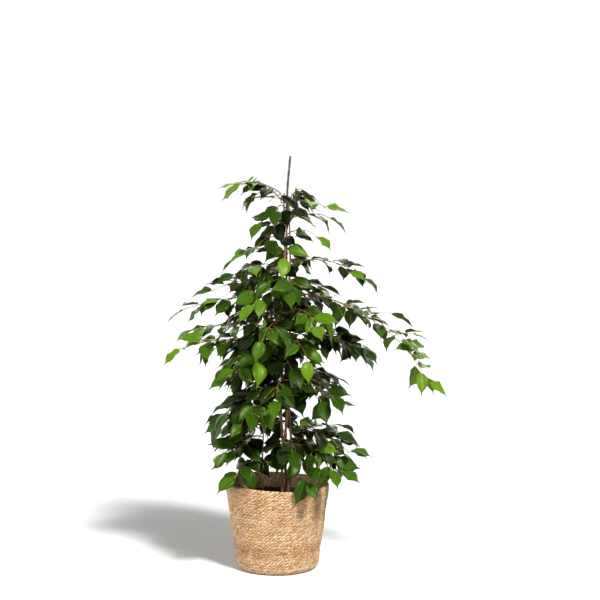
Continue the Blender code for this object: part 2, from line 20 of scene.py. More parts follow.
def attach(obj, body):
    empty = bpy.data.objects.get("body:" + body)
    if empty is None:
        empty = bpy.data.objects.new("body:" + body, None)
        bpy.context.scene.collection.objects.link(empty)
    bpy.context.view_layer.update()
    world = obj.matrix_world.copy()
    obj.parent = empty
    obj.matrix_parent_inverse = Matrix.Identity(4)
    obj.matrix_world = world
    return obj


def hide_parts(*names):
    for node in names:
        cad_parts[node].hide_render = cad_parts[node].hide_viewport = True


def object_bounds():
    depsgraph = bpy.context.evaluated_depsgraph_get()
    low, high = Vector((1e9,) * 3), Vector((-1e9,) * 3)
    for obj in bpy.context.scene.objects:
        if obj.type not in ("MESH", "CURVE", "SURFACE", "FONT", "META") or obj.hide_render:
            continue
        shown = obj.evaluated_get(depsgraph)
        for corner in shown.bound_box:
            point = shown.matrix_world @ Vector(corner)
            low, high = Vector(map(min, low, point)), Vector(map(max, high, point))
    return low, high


bl_info = {
    "name": "Weeping fig in basket",
    "version": (1, 0, 0),
    "blender": (4, 5, 0),
    "location": "3D View > Sidebar > Weeping fig",
    "description": "Dresses a potted weeping fig: its leaves, stems, pot and braided basket",
    "category": "Object",
}

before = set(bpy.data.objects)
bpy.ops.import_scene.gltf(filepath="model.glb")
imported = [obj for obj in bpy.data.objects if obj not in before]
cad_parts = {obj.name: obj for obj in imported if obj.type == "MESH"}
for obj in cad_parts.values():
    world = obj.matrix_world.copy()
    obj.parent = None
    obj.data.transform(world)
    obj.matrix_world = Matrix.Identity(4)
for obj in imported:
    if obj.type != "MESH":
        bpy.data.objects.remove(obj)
CAD_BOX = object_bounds()
UP = Vector((0, 0, 1))
FRONT = Vector((0, -1, 0))
WELD = 0.000002

# Stage
KEY_FROM = Vector((0.40, -0.62, 0.80))
FILL_FROM = Vector((-0.80, -0.60, 0.25))
BACKDROP_SPREAD = (0.3, 0.95)  # how far to the back the room starts to shine, and shines in full
CAMERA_PLACE = (0.0545, -3.6, 0.96)
CAMERA_PITCH = math.radians(85)
FLOOR_RADIUS = 25

# Basket: rows of braid sewn on each other, each covering half of the one below
BASKET_HEIGHT = 0.205
BASKET_OUTLINE = (  # height, outer radius
    (0.000, 0.0900), (0.010, 0.0978), (0.030, 0.1014), (0.050, 0.1022),
    (0.088, 0.1094), (0.137, 0.1153), (0.186, 0.1230), (0.205, 0.1235),
)
BASKET_WALL = 0.0065
BASKET_FLOOR = 0.006
INNER_HEIGHTS = (0.012, 0.050, 0.120, 0.204)
FOOT_INSET = 0.003
ROW_COUNT = 28
ROWS_FROM = 0.010
LOWEST_ROW = 0.0006
RIM_TILT = 0.003
RIM_WAVE = 0.0015
RIM_WAVES = 3
RIM_PLACES = (0.1, 0.35, 0.65, 0.9)  # over the rim, from its outside to its inside
RIM_INSET = 0.001
RIM_RISE = 0.0018
RIM_STAND = (0.5, 0.7)  # how far strands stand outwards and upwards there, as shares
RIM_SWELL = 0.5
DENT_DEPTH = 0.0025
DENT_ANGLE = math.radians(-114)
DENT_HEIGHT = 0.155
DENT_SPREAD = (math.radians(16), 0.03)
STRAND_COLUMNS = (0.0, 0.62, 0.93, 1.0, 0.93, 0.62)  # a strand's height across it
STRAND_ROWS = (0.52, 0.86, 1.0, 0.95, 0.76)  # and along it, from its foot
STRAND_HEIGHTS = (0.50, 1.20)  # from the flattest strand to the thickest
ROW_BULGE = (-0.0004, 0.0002)  # the row itself, at its edges and at its middle
INSIDE_ROWS = 8  # rows of braid that show inside
INSIDE_BULGE = 0.0006
INSIDE_STAND = -0.6  # towards the axis
INSIDE_SWELL = 0.8
BASKET_CALM = 0.02  # near its foot and rim the rows stray less
BASKET_NOISE = (2.2, 16)  # the fineness of its unevenness, round it and up it
STRAY_LAYERS = ((0.4, 2.5), (1, 9))  # of noise, as (strength, fineness)
WANDER_LAYERS = ((1, 1), (0.7, 8))
LUMP_LAYERS = ((1, 1.7),)

# Liner film, nursery pot and soil
FILM_TOP = 0.198
FILM_GAP = 0.0004
FILM_THICKNESS = 0.00015
FILM_ROWS = 16
FILM_ROW = 0.0035
FILM_SIDES = 220
FILM_LOOSE = (0.145, 0.03)  # where its wrinkles start, and over how much height they deepen
FILM_SAG = 0.003
FILM_NOISE = (7, 26)
FOLD_LAYERS = ((1.5, 1), (0.6, 2.3))
SAG_LAYERS = ((1, 0.6),)
POT_FOOT = 0.0072
POT_HEIGHT = 0.172
POT_BASE_RADIUS = 0.076
POT_TOP_RADIUS = 0.1035
POT_WALL = 0.0016
POT_LIP = 0.011
POT_LIP_OUT = 0.0025
POT_ROUNDING = 0.0008
POT_SIDES = 96
SOIL_TOP = 0.163
SOIL_RINGS = 26
SOIL_EDGE = 0.004  # the lumps fade out over this much at the pot's wall
SOIL_FINENESS = 60
SOIL_OCTAVES = (0.7, 2.1, 5)  # their fading, their step in fineness, their number
CRUMB_SIZES = (0.0007, 0.0024)
CRUMB_SQUASH = (0.6, 1.3)
CRUMB_REACH = 0.96  # of the soil's radius
CRUMB_LIFT = 0.3  # how high its middle lies, as a share of its size

# Stake and stems
STEM_FOOT = 0.10
STAKE_RADIUS = 0.0025
STAKE_ROUTE = (  # height, x
    (STEM_FOOT, 0.0205), (0.50, 0.0208), (0.72, 0.0225), (0.88, 0.0235), (0.986, 0.0315),
)
STEM_TOPS = (0.899, 0.878, 0.890)
STEM_RADII = (0.0038, 0.0016)
STEM_REACH = (  # height, distance from the stake
    (SOIL_TOP, 0.0080), (0.26, 0.0130), (0.50, 0.0105), (0.905, 0.0075),
)
STEM_TURNS = 1.4  # in each metre of height
STEM_START = 0.5
STEM_STEP = 0.070
SHOOT_ROUTE = (
    (-0.034, -0.020, STEM_FOOT), (-0.034, -0.020, SOIL_TOP), (-0.035, -0.021, 0.26),
    (-0.033, -0.024, 0.34), (-0.040, -0.030, 0.40), (-0.052, -0.040, 0.45),
)
SHOOT_RADII = (0.0022, 0.0014)
ROD_STEP = 0.005
ROD_STRETCH = 0.4  # bumps are longer up a rod than round it
STEM_GRAIN = (1, 260)  # the share of the roughness that a rod has, and its fineness
SHOOT_GRAIN = (0.5, 300)
STAKE_GRAIN = (1.6, 330)

# Sprays: start height on the stems, tip, rise after the start, drop to the tip, tone of the leaves
SPRAYS = (
    (0.893, (-0.078, -0.020, 0.922), 0.030, 0.006, "bright"),
    (0.885, (0.060, 0.040, 0.905), 0.015, 0.010, "mid"),
    (0.872, (0.110, -0.030, 0.868), 0.020, 0.010, "bright"),
    (0.876, (-0.042, 0.020, 0.922), 0.025, 0.006, "dark"),
    (0.858, (0.000, -0.065, 0.862), 0.015, 0.015, "dark"),
    (0.850, (0.030, 0.080, 0.850), 0.015, 0.015, "mid"),
    (0.838, (0.120, 0.015, 0.842), 0.015, 0.010, "mid"),
    (0.830, (-0.035, -0.055, 0.832), 0.015, 0.015, "mid"),
    (0.815, (-0.015, 0.088, 0.812), 0.015, 0.020, "dark"),
    (0.803, (0.090, -0.060, 0.800), 0.015, 0.015, "dark"),
    (0.790, (-0.042, -0.080, 0.778), 0.015, 0.020, "dark"),
    (0.768, (0.020, -0.100, 0.755), 0.015, 0.020, "bright"),
    (0.755, (-0.088, 0.000, 0.750), 0.020, 0.015, "bright"),
    (0.745, (0.040, 0.130, 0.738), 0.015, 0.020, "dark"),
    (0.722, (-0.095, -0.060, 0.712), 0.020, 0.020, "dark"),
    (0.730, (0.205, 0.010, 0.696), 0.030, 0.030, "dark"),
    (0.702, (-0.060, 0.145, 0.686), 0.015, 0.020, "mid"),
    (0.695, (0.030, -0.130, 0.675), 0.015, 0.025, "mid"),
    (0.685, (-0.150, 0.010, 0.668), 0.025, 0.015, "dark"),
    (0.677, (0.115, 0.120, 0.657), 0.015, 0.025, "mid"),
    (0.668, (-0.050, -0.140, 0.648), 0.015, 0.025, "bright"),
    (0.660, (0.355, -0.040, 0.456), 0.015, 0.115, "bright"),
    (0.652, (0.205, -0.060, 0.605), 0.025, 0.030, "dark"),
    (0.640, (-0.212, -0.030, 0.628), 0.030, 0.012, "mid"),
    (0.632, (0.020, 0.185, 0.603), 0.015, 0.030, "dark"),
    (0.622, (0.090, -0.142, 0.598), 0.015, 0.030, "bright"),
    (0.610, (-0.120, 0.145, 0.585), 0.015, 0.030, "dark"),
    (0.598, (-0.030, -0.172, 0.570), 0.015, 0.030, "mid"),
    (0.575, (-0.190, 0.000, 0.578), 0.020, 0.008, "bright"),
    (0.580, (0.155, 0.110, 0.520), 0.015, 0.025, "dark"),
    (0.565, (0.222, -0.010, 0.505), 0.020, 0.025, "dark"),
    (0.555, (0.070, -0.172, 0.525), 0.015, 0.030, "bright"),
    (0.545, (-0.224, -0.050, 0.536), 0.020, 0.015, "bright"),
    (0.535, (0.000, 0.190, 0.503), 0.015, 0.030, "mid"),
    (0.520, (-0.095, -0.135, 0.498), 0.015, 0.025, "mid"),
    (0.495, (-0.110, 0.125, 0.470), 0.015, 0.030, "dark"),
    (0.480, (-0.108, -0.040, 0.465), 0.015, 0.020, "mid"),
    (0.470, (0.115, 0.135, 0.435), 0.015, 0.030, "dark"),
    (0.455, (0.000, -0.168, 0.430), 0.015, 0.030, "mid"),
    (0.445, (0.130, -0.060, 0.410), 0.020, 0.030, "dark"),
    (0.430, (-0.060, 0.165, 0.395), 0.015, 0.030, "mid"),
    (0.415, (-0.108, 0.045, 0.385), 0.015, 0.025, "mid"),
    (0.340, (0.168, -0.025, 0.284), 0.012, 0.030, "mid"),
    (0.350, (-0.080, 0.140, 0.296), 0.015, 0.030, "dark"),
    (0.312, (0.150, -0.092, 0.252), 0.015, 0.030, "mid"),
    (0.310, (0.072, -0.122, 0.232), 0.020, 0.030, "mid"),
    (0.290, (0.050, 0.135, 0.250), 0.015, 0.030, "dark"),
)
SHOOT_SPRAYS = (
    (0.430, (-0.080, -0.130, 0.370), 0.010, 0.030, "mid"),
    (0.390, (-0.112, -0.030, 0.345), 0.015, 0.030, "dark"),
    (0.320, (-0.103, -0.050, 0.275), 0.015, 0.030, "mid"),
    (0.270, (-0.095, -0.092, 0.240), 0.010, 0.020, "mid"),
)
FIT_GAP = 0.0003
TWIG_RADII = (0.0017, 0.0011)
TWIG_FOOT = 0.004  # how far a twig leaves its stem square
TWIG_HANDLES = (0.35, 0.42)
TWIG_STEP = 0.06
TWIG_POINTS = (3, 8)
TWIG_CLEAR = 0.0045
TWIG_GAPS = (1, 2, 2.8)  # gaps that a twig may leave to its stem, in fit gaps
TWIG_SWINGS = (0, 5, -5, 10, -10, 16, -16, 23, -23, 30, -30)  # degrees aside
WALK = 0.001  # from point to point along a twig
LOOK_BACK = 4  # points, to tell a twig's direction
LOOK_ON = 2

# Leaves, as the solid ones were drawn
LEAF_LENGTH = 0.069
LEAF_WIDTH = 0.033
PETIOLE = 0.12
PETIOLE_HALF = 0.0007
BLADE_OUTLINE = (0.86, 0.85, 0.58, 0.16)  # the drip tip's start, the widest place, slimness, tip width
STATIONS = (0.26, 0.52, 0.81)  # along the solid leaf, of its crosswise edges
RIB_HALVES = (0.0007, 0.0007, 0.0005)
EDGE_WAVE = 0.0022
EDGE_WAVES = 1.3
EDGE_SHIFT = 1.7
LEAF_SPACING = 0.0294
FIRST_LEAF = 0.018
LEAF_TRIES = 24
LEAF_CLEAR = 0.0006
OWN_TWIG_CLEAR = 0.004
OWN_TWIG_FROM = 0.012
LAST_SPREADS = (0, 20)
PITCHES = (-22, 30)  # degrees below level
LAST_PITCHES = (-5, 30)
HANG = 18  # degrees more where a spray heads to the front or the back
LEANS = (-0.1, 0.6)
TURN_OUT = 0.7
DROOPS = (0.25, 0.85)
FOLDS = (6, 24)  # degrees
SOLID_KIND = {  # how leaves are drawn: spreads are degrees from the twig
    "sizes": (0.84, 1.06),
    "spreads": (22, 75),
    "rolls": (-0.45, 0.45),
    "to_light": (0.0, 0.7),
    "with_twig": 0,
}

# The finer leaves, and the growth between the solid ones
BLADE_PLACES = (0, 0.05, 0.15, 0.32, 0.50, 0.65, 0.76, 0.82, 1)  # of its edges across, from its foot
BLADE_COLUMNS = 4
FINE_OUTLINE = (0.80, 0.93, 0.62, 0.15)
TIP_FOOT = 4  # how steeply the drip tip's width starts at the petiole
BLADE_DOME = 0.10  # how far each half bulges, as a share of its width
BLADE_RISE = 1.15  # how late each half rises to its edge
TIP_CURL = 0.0045  # how far the drip tip strays aside
RIPPLE = 0.0018  # the blade's own ripples, over the wave of its edge
RIPPLES = 2.4
PETIOLE_PLACES = (0.55, 1.35)  # of the petiole's length, from its twig into the blade
PETIOLE_RADII = (0.0006, 0.0005, 0.0004)
TWIG_FINENESS = 0.008
FINE_TWIG_RADII = (0.0015, 0.0006)
SIDE_SHOOT_EVERY = 0.020
SIDE_SHOOT_FROM = 0.010
SIDE_SHOOT_TO = 0.80  # of the twig's length
SIDE_SHOOT_LENGTHS = (0.045, 0.095)
SIDE_SHOOT_TAPER = 0.45  # how much shorter they get towards the twig's tip
SIDE_SHOOT_ANGLES = (30, 65)  # degrees from the twig
SIDE_SHOOT_RISES = (-0.25, 0.35)
SIDE_SHOOT_SAG = 0.22
SIDE_SHOOT_TRIES = 10
SIDE_SHOOT_POINTS = 4
SIDE_SHOOT_RADII = (0.0008, 0.0004)
SIDE_LEAF_EVERY = 0.020
BETWEEN_LEAF_EVERY = 0.0147
BUD_LENGTH = 0.009
BUD_FOOT = 0.001
BUD_RADII = (0.0008, 0.0011, 0.0002)
BUD_WIDEST = 0.3  # of its length
GROWTH_PAST = 0.006  # how far growth may pass the solids' box
FULLNESS = (  # height, share of the side shoots and further leaves that grow there
    (0.22, 0.8), (0.30, 1.0), (0.38, 1.0), (0.50, 1.0), (0.55, 0.75),
    (0.66, 0.5), (0.72, 0.35), (0.80, 0.0), (0.885, 0.0), (0.900, 0.8),
)
FRONT_FULLNESS = ((-0.16, 0.5), (-0.06, 1.0))  # the same, by how far back it is
FURTHER_KIND = {  # how these further leaves are drawn. They partly follow a twig's way down
    "sizes": (0.80, 1.15),
    "spreads": (30, 105),
    "rolls": (-0.8, 0.8),
    "to_light": (-0.3, 1.1),
    "with_twig": 0.4,
}
# Leaves near the stem are darker partly for their age and partly as painted shade of the crown's
# inside; towards the tip they brighten.
TONES = {"dark": (0.0, 0.32), "mid": (0.02, 0.50), "bright": (0.06, 0.92)}  # near the stem, at the tip
TONE_RISE = 1.6  # how late along a spray its leaves brighten
TONE_SPREAD = 0.10
YOUNG_SHARE = 0.035  # of the leaves anywhere
YOUNG_TONE = 0.82
TWIG_AGES = (0.7, 0.85)  # how fast a twig turns green towards its tip, and how green it gets


def between(table, at):
    """The value at a place in a table of (place, value) rows, by straight lines."""
    for (low, first), (high, second) in zip(table, table[1:]):
        if at <= high:
            share = max(0.0, (at - low) / (high - low))
            return first + (second - first) * share
    return table[-1][1]


def fullness(spot):
    """The share of the side shoots and further leaves that grow at a spot."""
    return between(FULLNESS, spot.z) * between(FRONT_FULLNESS, spot.y)


def even_steps(ends, count):
    """As many values as asked for, from one end's value to the other's."""
    return [ends[0] + (ends[1] - ends[0]) * i / (count - 1) for i in range(count)]


def flat(vector):
    return Vector((vector.x, vector.y, 0))


def around(radius, angle, height):
    """The point at a height, a radius from the basket's axis and an angle round it."""
    return Vector((radius * math.cos(angle), radius * math.sin(angle), height))


def tapered(points, radii):
    """A line of points with as many radii, from the first of the two given to the second."""
    return points, even_steps(radii, len(points))


def samples(points, step):
    """Points a step apart along a line of points."""
    made = []
    for low, high in zip(points, points[1:]):
        count = max(1, round((high - low).length / step))
        made += [low.lerp(high, i / count) for i in range(count)]
    return [*made, points[-1]]


def smooth_line(points, step):
    """Points about a step apart on a smooth curve through the given ones."""
    ends = [points[0] * 2 - points[1], *points, points[-1] * 2 - points[-2]]
    made = []
    for a, b, c, d in zip(ends, ends[1:], ends[2:], ends[3:]):
        count = max(1, round((c - b).length / step))
        for i in range(count):
            t = i / count
            bend = b * 2 + (c - a) * t + (a * 2 - b * 5 + c * 4 - d) * t**2
            made.append((bend + (b * 3 - a - c * 3 + d) * t**3) / 2)
    return [*made, points[-1]]


def layered(place, layers, shape=float):
    """Noise at a place, as the sum of (strength, fineness) layers, each of them shaped."""
    return sum(strength * shape(noise.noise(place * fine)) for strength, fine in layers)


def placed(name, data):
    """A new object in the scene."""
    made = bpy.data.objects.new(name, data)
    bpy.context.scene.collection.objects.link(made)
    return made


def tubes(lines, level=0):
    """One mesh of round tubes, with 4 + 2 * level sides, from (points, radii) lines."""
    curve = bpy.data.curves.new("tubes", "CURVE")
    curve.dimensions = "3D"
    curve.bevel_depth = 1
    curve.bevel_resolution = level
    curve.use_fill_caps = True
    for points, radii in lines:
        spline = curve.splines.new("POLY")
        spline.points.add(len(points) - 1)
        for spot, point, radius in zip(spline.points, points, radii):
            spot.co = (*point, 1)
            spot.radius = radius
    drawn = placed("tubes", curve)
    graph = bpy.context.evaluated_depsgraph_get()
    mesh = bpy.data.meshes.new_from_object(drawn.evaluated_get(graph))
    bpy.data.objects.remove(drawn, do_unlink=True)
    bm = bmesh.new()
    bm.from_mesh(mesh)
    bmesh.ops.remove_doubles(bm, verts=bm.verts, dist=WELD)
    bm.to_mesh(mesh)
    bm.free()
    return mesh


def sort_faces(bm):
    """Puts the faces in their vertices' order, since spin and solidify leave them in any order."""
    bm.verts.index_update()
    count = len(bm.verts)

    def place(face):
        low, middle, high = sorted(vertex.index for vertex in face.verts)[:3]
        return (low * count + middle) * count + high

    bm.faces.sort(key=place)


def finished(bm):
    """The bmesh as a smooth mesh. The bmesh goes."""
    mesh = bpy.data.meshes.new("piece")
    bm.to_mesh(mesh)
    bm.free()
    mesh.shade_smooth()
    return mesh


def add_piece(name, mesh, finish, node):
    """A piece of the plant in the scene, in place of its solid node."""
    mesh.name = name
    mesh.materials.clear()
    mesh.materials.append(finish)
    piece = placed(name, mesh)
    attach(piece, "root")
    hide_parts(node)


def worked_out(operation, reflected=False):
    """A method that takes a Wire and another value through a Math node, in either order."""
    if reflected:
        return lambda wire, other: wire.maths(operation, other, wire)
    return lambda wire, other: wire.maths(operation, wire, other)


class Wire:
    """A value on its way through shader nodes. Arithmetic on it adds Math nodes."""

    def __init__(self, nodes, socket):
        self.nodes = nodes
        self.socket = socket

    def maths(self, operation, *values):
        return self.nodes.node("ShaderNodeMath", {"operation": operation}, dict(enumerate(values)))

    __add__ = __radd__ = worked_out("ADD")
    __mul__ = __rmul__ = worked_out("MULTIPLY")
    __sub__ = worked_out("SUBTRACT")
    __rsub__ = worked_out("SUBTRACT", reflected=True)
    __pow__ = worked_out("POWER")

    def __abs__(self):
        return self.maths("ABSOLUTE", self)

    def wave(self):
        """From 0 to 1 and back in each whole number."""
        return self.maths("SINE", self * math.tau) * 0.5 + 0.5

    def band(self, empty, full):
        """0 where the value is at empty, 1 where it is at full, and a soft step between."""
        ends = {"Value": self, "From Min": empty, "From Max": full}
        return self.nodes.node("ShaderNodeMapRange", {"interpolation_type": "SMOOTHSTEP"}, ends)

    def output(self, name):
        """Another output of the same node, by its name or number."""
        return Wire(self.nodes, self.socket.node.outputs[name])


class Nodes:
    """A tree of shader nodes in the making."""

    def __init__(self, tree):
        self.tree = tree

    def node(self, kind, settings, inputs, output=0):
        made = self.tree.nodes.new(kind)
        for key, value in settings.items():
            if key == "stops":
                self.set_stops(made.color_ramp, value)
            else:
                setattr(made, key, value)
        for key, value in inputs.items():
            self.feed(made.inputs[key], value)
        return Wire(self, made.outputs[output])

    def feed(self, socket, value):
        """Links a Wire to a socket, or sets the socket to a number, a vector or a colour."""
        if isinstance(value, Wire):
            self.tree.links.new(value.socket, socket)
        else:
            socket.default_value = (*value, 1) if socket.type == "RGBA" else value

    def set_stops(self, ramp, stops):
        while len(ramp.elements) < len(stops):
            ramp.elements.new(0.5)
        for element, (place, colour) in zip(ramp.elements, stops):
            element.position = place
            element.color = (*colour, 1)

    def axes(self, spot):
        """A point's X. Its Y and Z are the Wire's outputs 1 and 2."""
        return self.node("ShaderNodeSeparateXYZ", {}, {"Vector": spot})

    def mix(self, share, first, second):
        """A colour from the first to the second."""
        inputs = {0: share, 6: first, 7: second}
        return self.node("ShaderNodeMix", {"data_type": "RGBA"}, inputs, 2)


class Finish(Nodes):
    """A material in the making."""

    def __init__(self, name):
        self.material = bpy.data.materials.new(name)
        self.material.use_nodes = True
        super().__init__(self.material.node_tree)
        self.shader = self.tree.nodes["Principled BSDF"]

    def ramp(self, value, *stops):
        return self.node("ShaderNodeValToRGB", {"stops": stops}, {"Fac": value})

    def place(self, scale=(1, 1, 1)):
        """Where the surface is on its object, stretched by a scale."""
        return self.stretch(self.node("ShaderNodeTexCoord", {}, {}, "Object"), scale)

    def chart(self, name, scale=(1, 1, 1)):
        """Where the surface is on one of its own UV maps."""
        return self.stretch(self.node("ShaderNodeUVMap", {"uv_map": name}, {}), scale)

    def stretch(self, spot, scale):
        return self.node("ShaderNodeMapping", {}, {"Vector": spot, "Scale": scale})

    def noise(self, spot, scale, detail=3.0, rough=0.5):
        inputs = {"Vector": spot, "Scale": scale, "Detail": detail, "Roughness": rough}
        return self.node("ShaderNodeTexNoise", {}, inputs)

    def attribute(self, name):
        """A mesh attribute's first number. Its others are the Wire's outputs 1 and 2."""
        colour = self.node("ShaderNodeAttribute", {"attribute_name": name}, {}, "Color")
        return self.node("ShaderNodeSeparateColor", {}, {"Color": colour})

    def bump(self, height, strength, distance):
        inputs = {"Height": height, "Strength": strength, "Distance": distance}
        self.surface(Normal=self.node("ShaderNodeBump", {}, inputs))

    def surface(self, **inputs):
        """Feeds the shader's own sockets, named with _ for each space."""
        for name, value in inputs.items():
            self.feed(self.shader.inputs[name.replace("_", " ")], value)


class Rod:
    """A round rod's centre line, which answers where it is at a height and how thick it is there."""

    def __init__(self, points, radii):
        self.points = [Vector(point) for point in points]
        self.radii = even_steps(radii, len(self.points))

    def at(self, height):
        rows = zip(self.points, self.points[1:], self.radii, self.radii[1:])
        for low, high, first, second in rows:
            if height <= high.z:
                break
        share = min(1.0, (height - low.z) / (high.z - low.z))
        return low.lerp(high, share), first + (second - first) * share


def make_stake():
    return Rod([(x, 0, height) for height, x in STAKE_ROUTE], (STAKE_RADIUS, STAKE_RADIUS))


def make_stems():
    """The three wound stems, each straight where it stands in the soil."""
    stems = []
    for index, top in enumerate(STEM_TOPS):
        count = round((top - SOIL_TOP) / STEM_STEP)
        points = []
        for height in (STEM_FOOT, *even_steps((SOIL_TOP, top), count + 1)):
            above = max(height, SOIL_TOP)
            turns = STEM_START + index / len(STEM_TOPS) + STEM_TURNS * (above - SOIL_TOP)
            angle = math.tau * turns
            reach = between(STEM_REACH, above)
            middle = between(STAKE_ROUTE, above)
            points.append((middle + reach * math.cos(angle), reach * math.sin(angle), height))
        stems.append(Rod(points, STEM_RADII))
    return stems


def twig_curve(stem, row, swing, gap, count):
    """A twig's points: it leaves its stem square, rises a little, swings aside and weeps to its tip."""
    height, tip, rise, drop, _ = row
    tip = Vector(tip)
    root, thickness = stem.at(height)
    out = flat(tip - root).normalized()
    start = root + out * (thickness + gap)
    level = flat(tip - start)
    side = Matrix.Rotation(math.radians(swing), 3, "Z") @ level
    first = start + side * TWIG_HANDLES[0] + UP * rise
    second = start + (side + level) * TWIG_HANDLES[1] + UP * (tip.z - start.z + drop)
    if not count:
        count = round(level.length / TWIG_STEP) + 1
        count = max(TWIG_POINTS[0], min(TWIG_POINTS[1], count))
    points = [start, start + out * TWIG_FOOT]
    for i in range(1, count + 1):
        t = i / count
        u = 1 - t
        leaving = start * u**3 + first * (3 * u * u * t)
        points.append(leaving + second * (3 * u * t * t) + tip * t**3)
    return points


def stems_facing(stems, row):
    """The stems that a twig can start from, those on its tip's side first, so that it passes none."""
    height, tip = row[0], Vector(row[1])
    middle = Vector((between(STAKE_ROUTE, height), 0, height))

    def facing(stem):
        return (stem.at(height)[0] - middle).normalized().dot((tip - middle).normalized())

    reachable = [stem for stem in stems if stem.points[-1].z >= height]
    return sorted(reachable, key=facing, reverse=True)


class Space:
    """What has grown so far. It keeps new growth clear of that, and within the plant's size."""

    def __init__(self):
        self.shapes = []
        low, high = CAD_BOX
        self.limits = [c - GROWTH_PAST for c in low], [c + GROWTH_PAST for c in high]

    def add(self, points, faces, owner):
        self.shapes.append((bounds(points), BVHTree.FromPolygons(points, faces), owner))

    def is_clear(self, points, faces, owner):
        """Whether a shape is within the plant's size, and crosses only shapes of its own owner."""
        low, high = bounds(points)
        if any(low[i] < self.limits[0][i] or high[i] > self.limits[1][i] for i in range(3)):
            return False
        tree = BVHTree.FromPolygons(points, faces)
        for (other_low, other_high), other, other_owner in self.shapes:
            apart = any(low[i] > other_high[i] or high[i] < other_low[i] for i in range(3))
            if not apart and other_owner != owner and tree.overlap(other):
                return False
        return True


def bounds(points):
    return [[pick(point[i] for point in points) for i in range(3)] for pick in (min, max)]


def points_and_faces(mesh):
    points = [vertex.co[:] for vertex in mesh.vertices]
    return points, [face.vertices[:] for face in mesh.polygons]


def twig_shape(points, radii):
    return points_and_faces(tubes([tapered(points, radii)]))


def outline(along, length, skew, slimness, drip):
    """The blade's width, as a share of its greatest, at 0 by the petiole to 1 at the tip's end."""
    body = math.sin(math.pi * min(along / length, 1.0) ** skew) ** slimness
    return max(body, drip * min(1.0, (1 - along) / (1 - length)) * min(1.0, along * TIP_FOOT))


class Leaf:
    """One leaf: where its root and its axes are, and how it droops, folds and waves."""

    def __init__(self, root, along, face, length, droop, fold, phase):
        across = face.cross(along).normalized()
        face = along.cross(across).normalized()
        turn = Matrix((along, across, face)).transposed().to_4x4()
        self.matrix = Matrix.Translation(root) @ turn
        self.length = length
        self.half_width = LEAF_WIDTH / 2 * length / LEAF_LENGTH
        self.droop = droop
        self.fold = fold
        self.phase = phase

    def spot(self, share, aside, lift):
        """A point of the leaf, by its share of the length, way aside and height over the middle."""
        angle = self.droop * share
        radius = self.length / self.droop
        centre = Vector((radius * math.sin(angle), aside, radius * (math.cos(angle) - 1)))
        return self.matrix @ (centre + Vector((math.sin(angle), 0, math.cos(angle))) * lift)

    def edge(self, share, side, shape=BLADE_OUTLINE):
        """An edge point's distance to the side, and its lift."""
        along = (share - PETIOLE) / (1 - PETIOLE)
        width = outline(along, *shape)
        wave = math.sin(math.tau * EDGE_WAVES * along + self.phase + EDGE_SHIFT * side)
        half = self.half_width * width
        lift = half * math.sin(self.fold) + EDGE_WAVE * width * wave
        return side * half * math.cos(self.fold), lift

    def surface(self, along, side):
        """A point of the fine blade: along it from 0 to 1, and aside from the rib from -1 to 1."""
        share = PETIOLE + (1 - PETIOLE) * along
        reach = abs(side)
        aside, lift = self.edge(share, math.copysign(1, side), FINE_OUTLINE)
        width = outline(along, *FINE_OUTLINE)
        dome = self.half_width * width * BLADE_DOME * math.sin(math.pi * reach)
        curl = TIP_CURL * math.sin(self.phase * 3) * along**4
        ripple = math.sin(math.tau * RIPPLES * along + 2 * self.phase + side)
        rise = lift * reach**BLADE_RISE + dome + RIPPLE * ripple * width * reach
        return self.spot(share, aside * reach + curl, rise)

    def hull(self):
        """A plain six-sided shell that stands a little off the leaf all round: points, faces."""
        off = LEAF_CLEAR
        points = []
        for share, rib in zip((0, PETIOLE, *STATIONS), (PETIOLE_HALF,) * 2 + RIB_HALVES):
            left, right = (-PETIOLE_HALF, 0), (PETIOLE_HALF, 0)
            if share > PETIOLE:
                left, right = self.edge(share, -1), self.edge(share, 1)
            over, under = (0, rib + off), (0, -rib - off)
            ring = [(left[0] - off, left[1] + off), over, (right[0] + off, right[1] + off)]
            ring += [(right[0] + off, right[1] - off), under, (left[0] - off, left[1] - off)]
            points += [self.spot(share, *row) for row in ring]
        tip = len(points)
        points.append(self.spot(1 + off / self.length, 0, 0))
        turn = [(k, (k + 1) % 6) for k in range(6)]
        starts = range(0, tip - 6, 6)
        faces = [(a + i, a + j, a + 6 + j, a + 6 + i) for a in starts for i, j in turn]
        faces += [(tip - 6 + i, tip - 6 + j, tip) for i, j in turn]
        return points, faces

    def clears(self, line):
        """Whether the blade stands off its own twig, apart from its root."""
        blade = [self.spot(share, 0, 0) for share in (*STATIONS, 1)]
        for share in STATIONS:
            blade += [self.spot(share, *self.edge(share, side)) for side in (-1, 1)]
        root = self.matrix.translation
        away = [point for point in line if (point - root).length > OWN_TWIG_FROM]
        return all((point - other).length > OWN_TWIG_CLEAR for point in blade for other in away)


def draw_leaf(place, number, draw, facing, sizes, spreads, rolls, to_light, with_twig):
    """A leaf as it might sit on a twig: to one side by turns, or onwards at the twig's end."""
    root, forward, last = place
    level = flat(forward).normalized()
    facing = abs(level.y) if facing is None else facing
    side = level.cross(UP) * (1 if number % 2 else -1)
    spread = math.radians(draw.uniform(*(LAST_SPREADS if last else spreads)))
    heading = level * math.cos(spread) + side * math.sin(spread)
    pitch = math.radians(draw.uniform(*(LAST_PITCHES if last else PITCHES)) + HANG * facing)
    pitch += with_twig * max(0.0, math.asin(-forward.z))
    along = (heading * math.cos(pitch) - UP * math.sin(pitch)).normalized()
    lean = draw.uniform(*LEANS) + TURN_OUT * facing
    face = UP + level * lean + side * draw.uniform(*rolls) + FRONT * draw.uniform(*to_light)
    length = LEAF_LENGTH * draw.uniform(*sizes)
    droop = draw.uniform(*DROOPS)
    fold = math.radians(draw.uniform(*FOLDS))
    return Leaf(root, along, face, length, droop, fold, draw.uniform(0, math.tau))


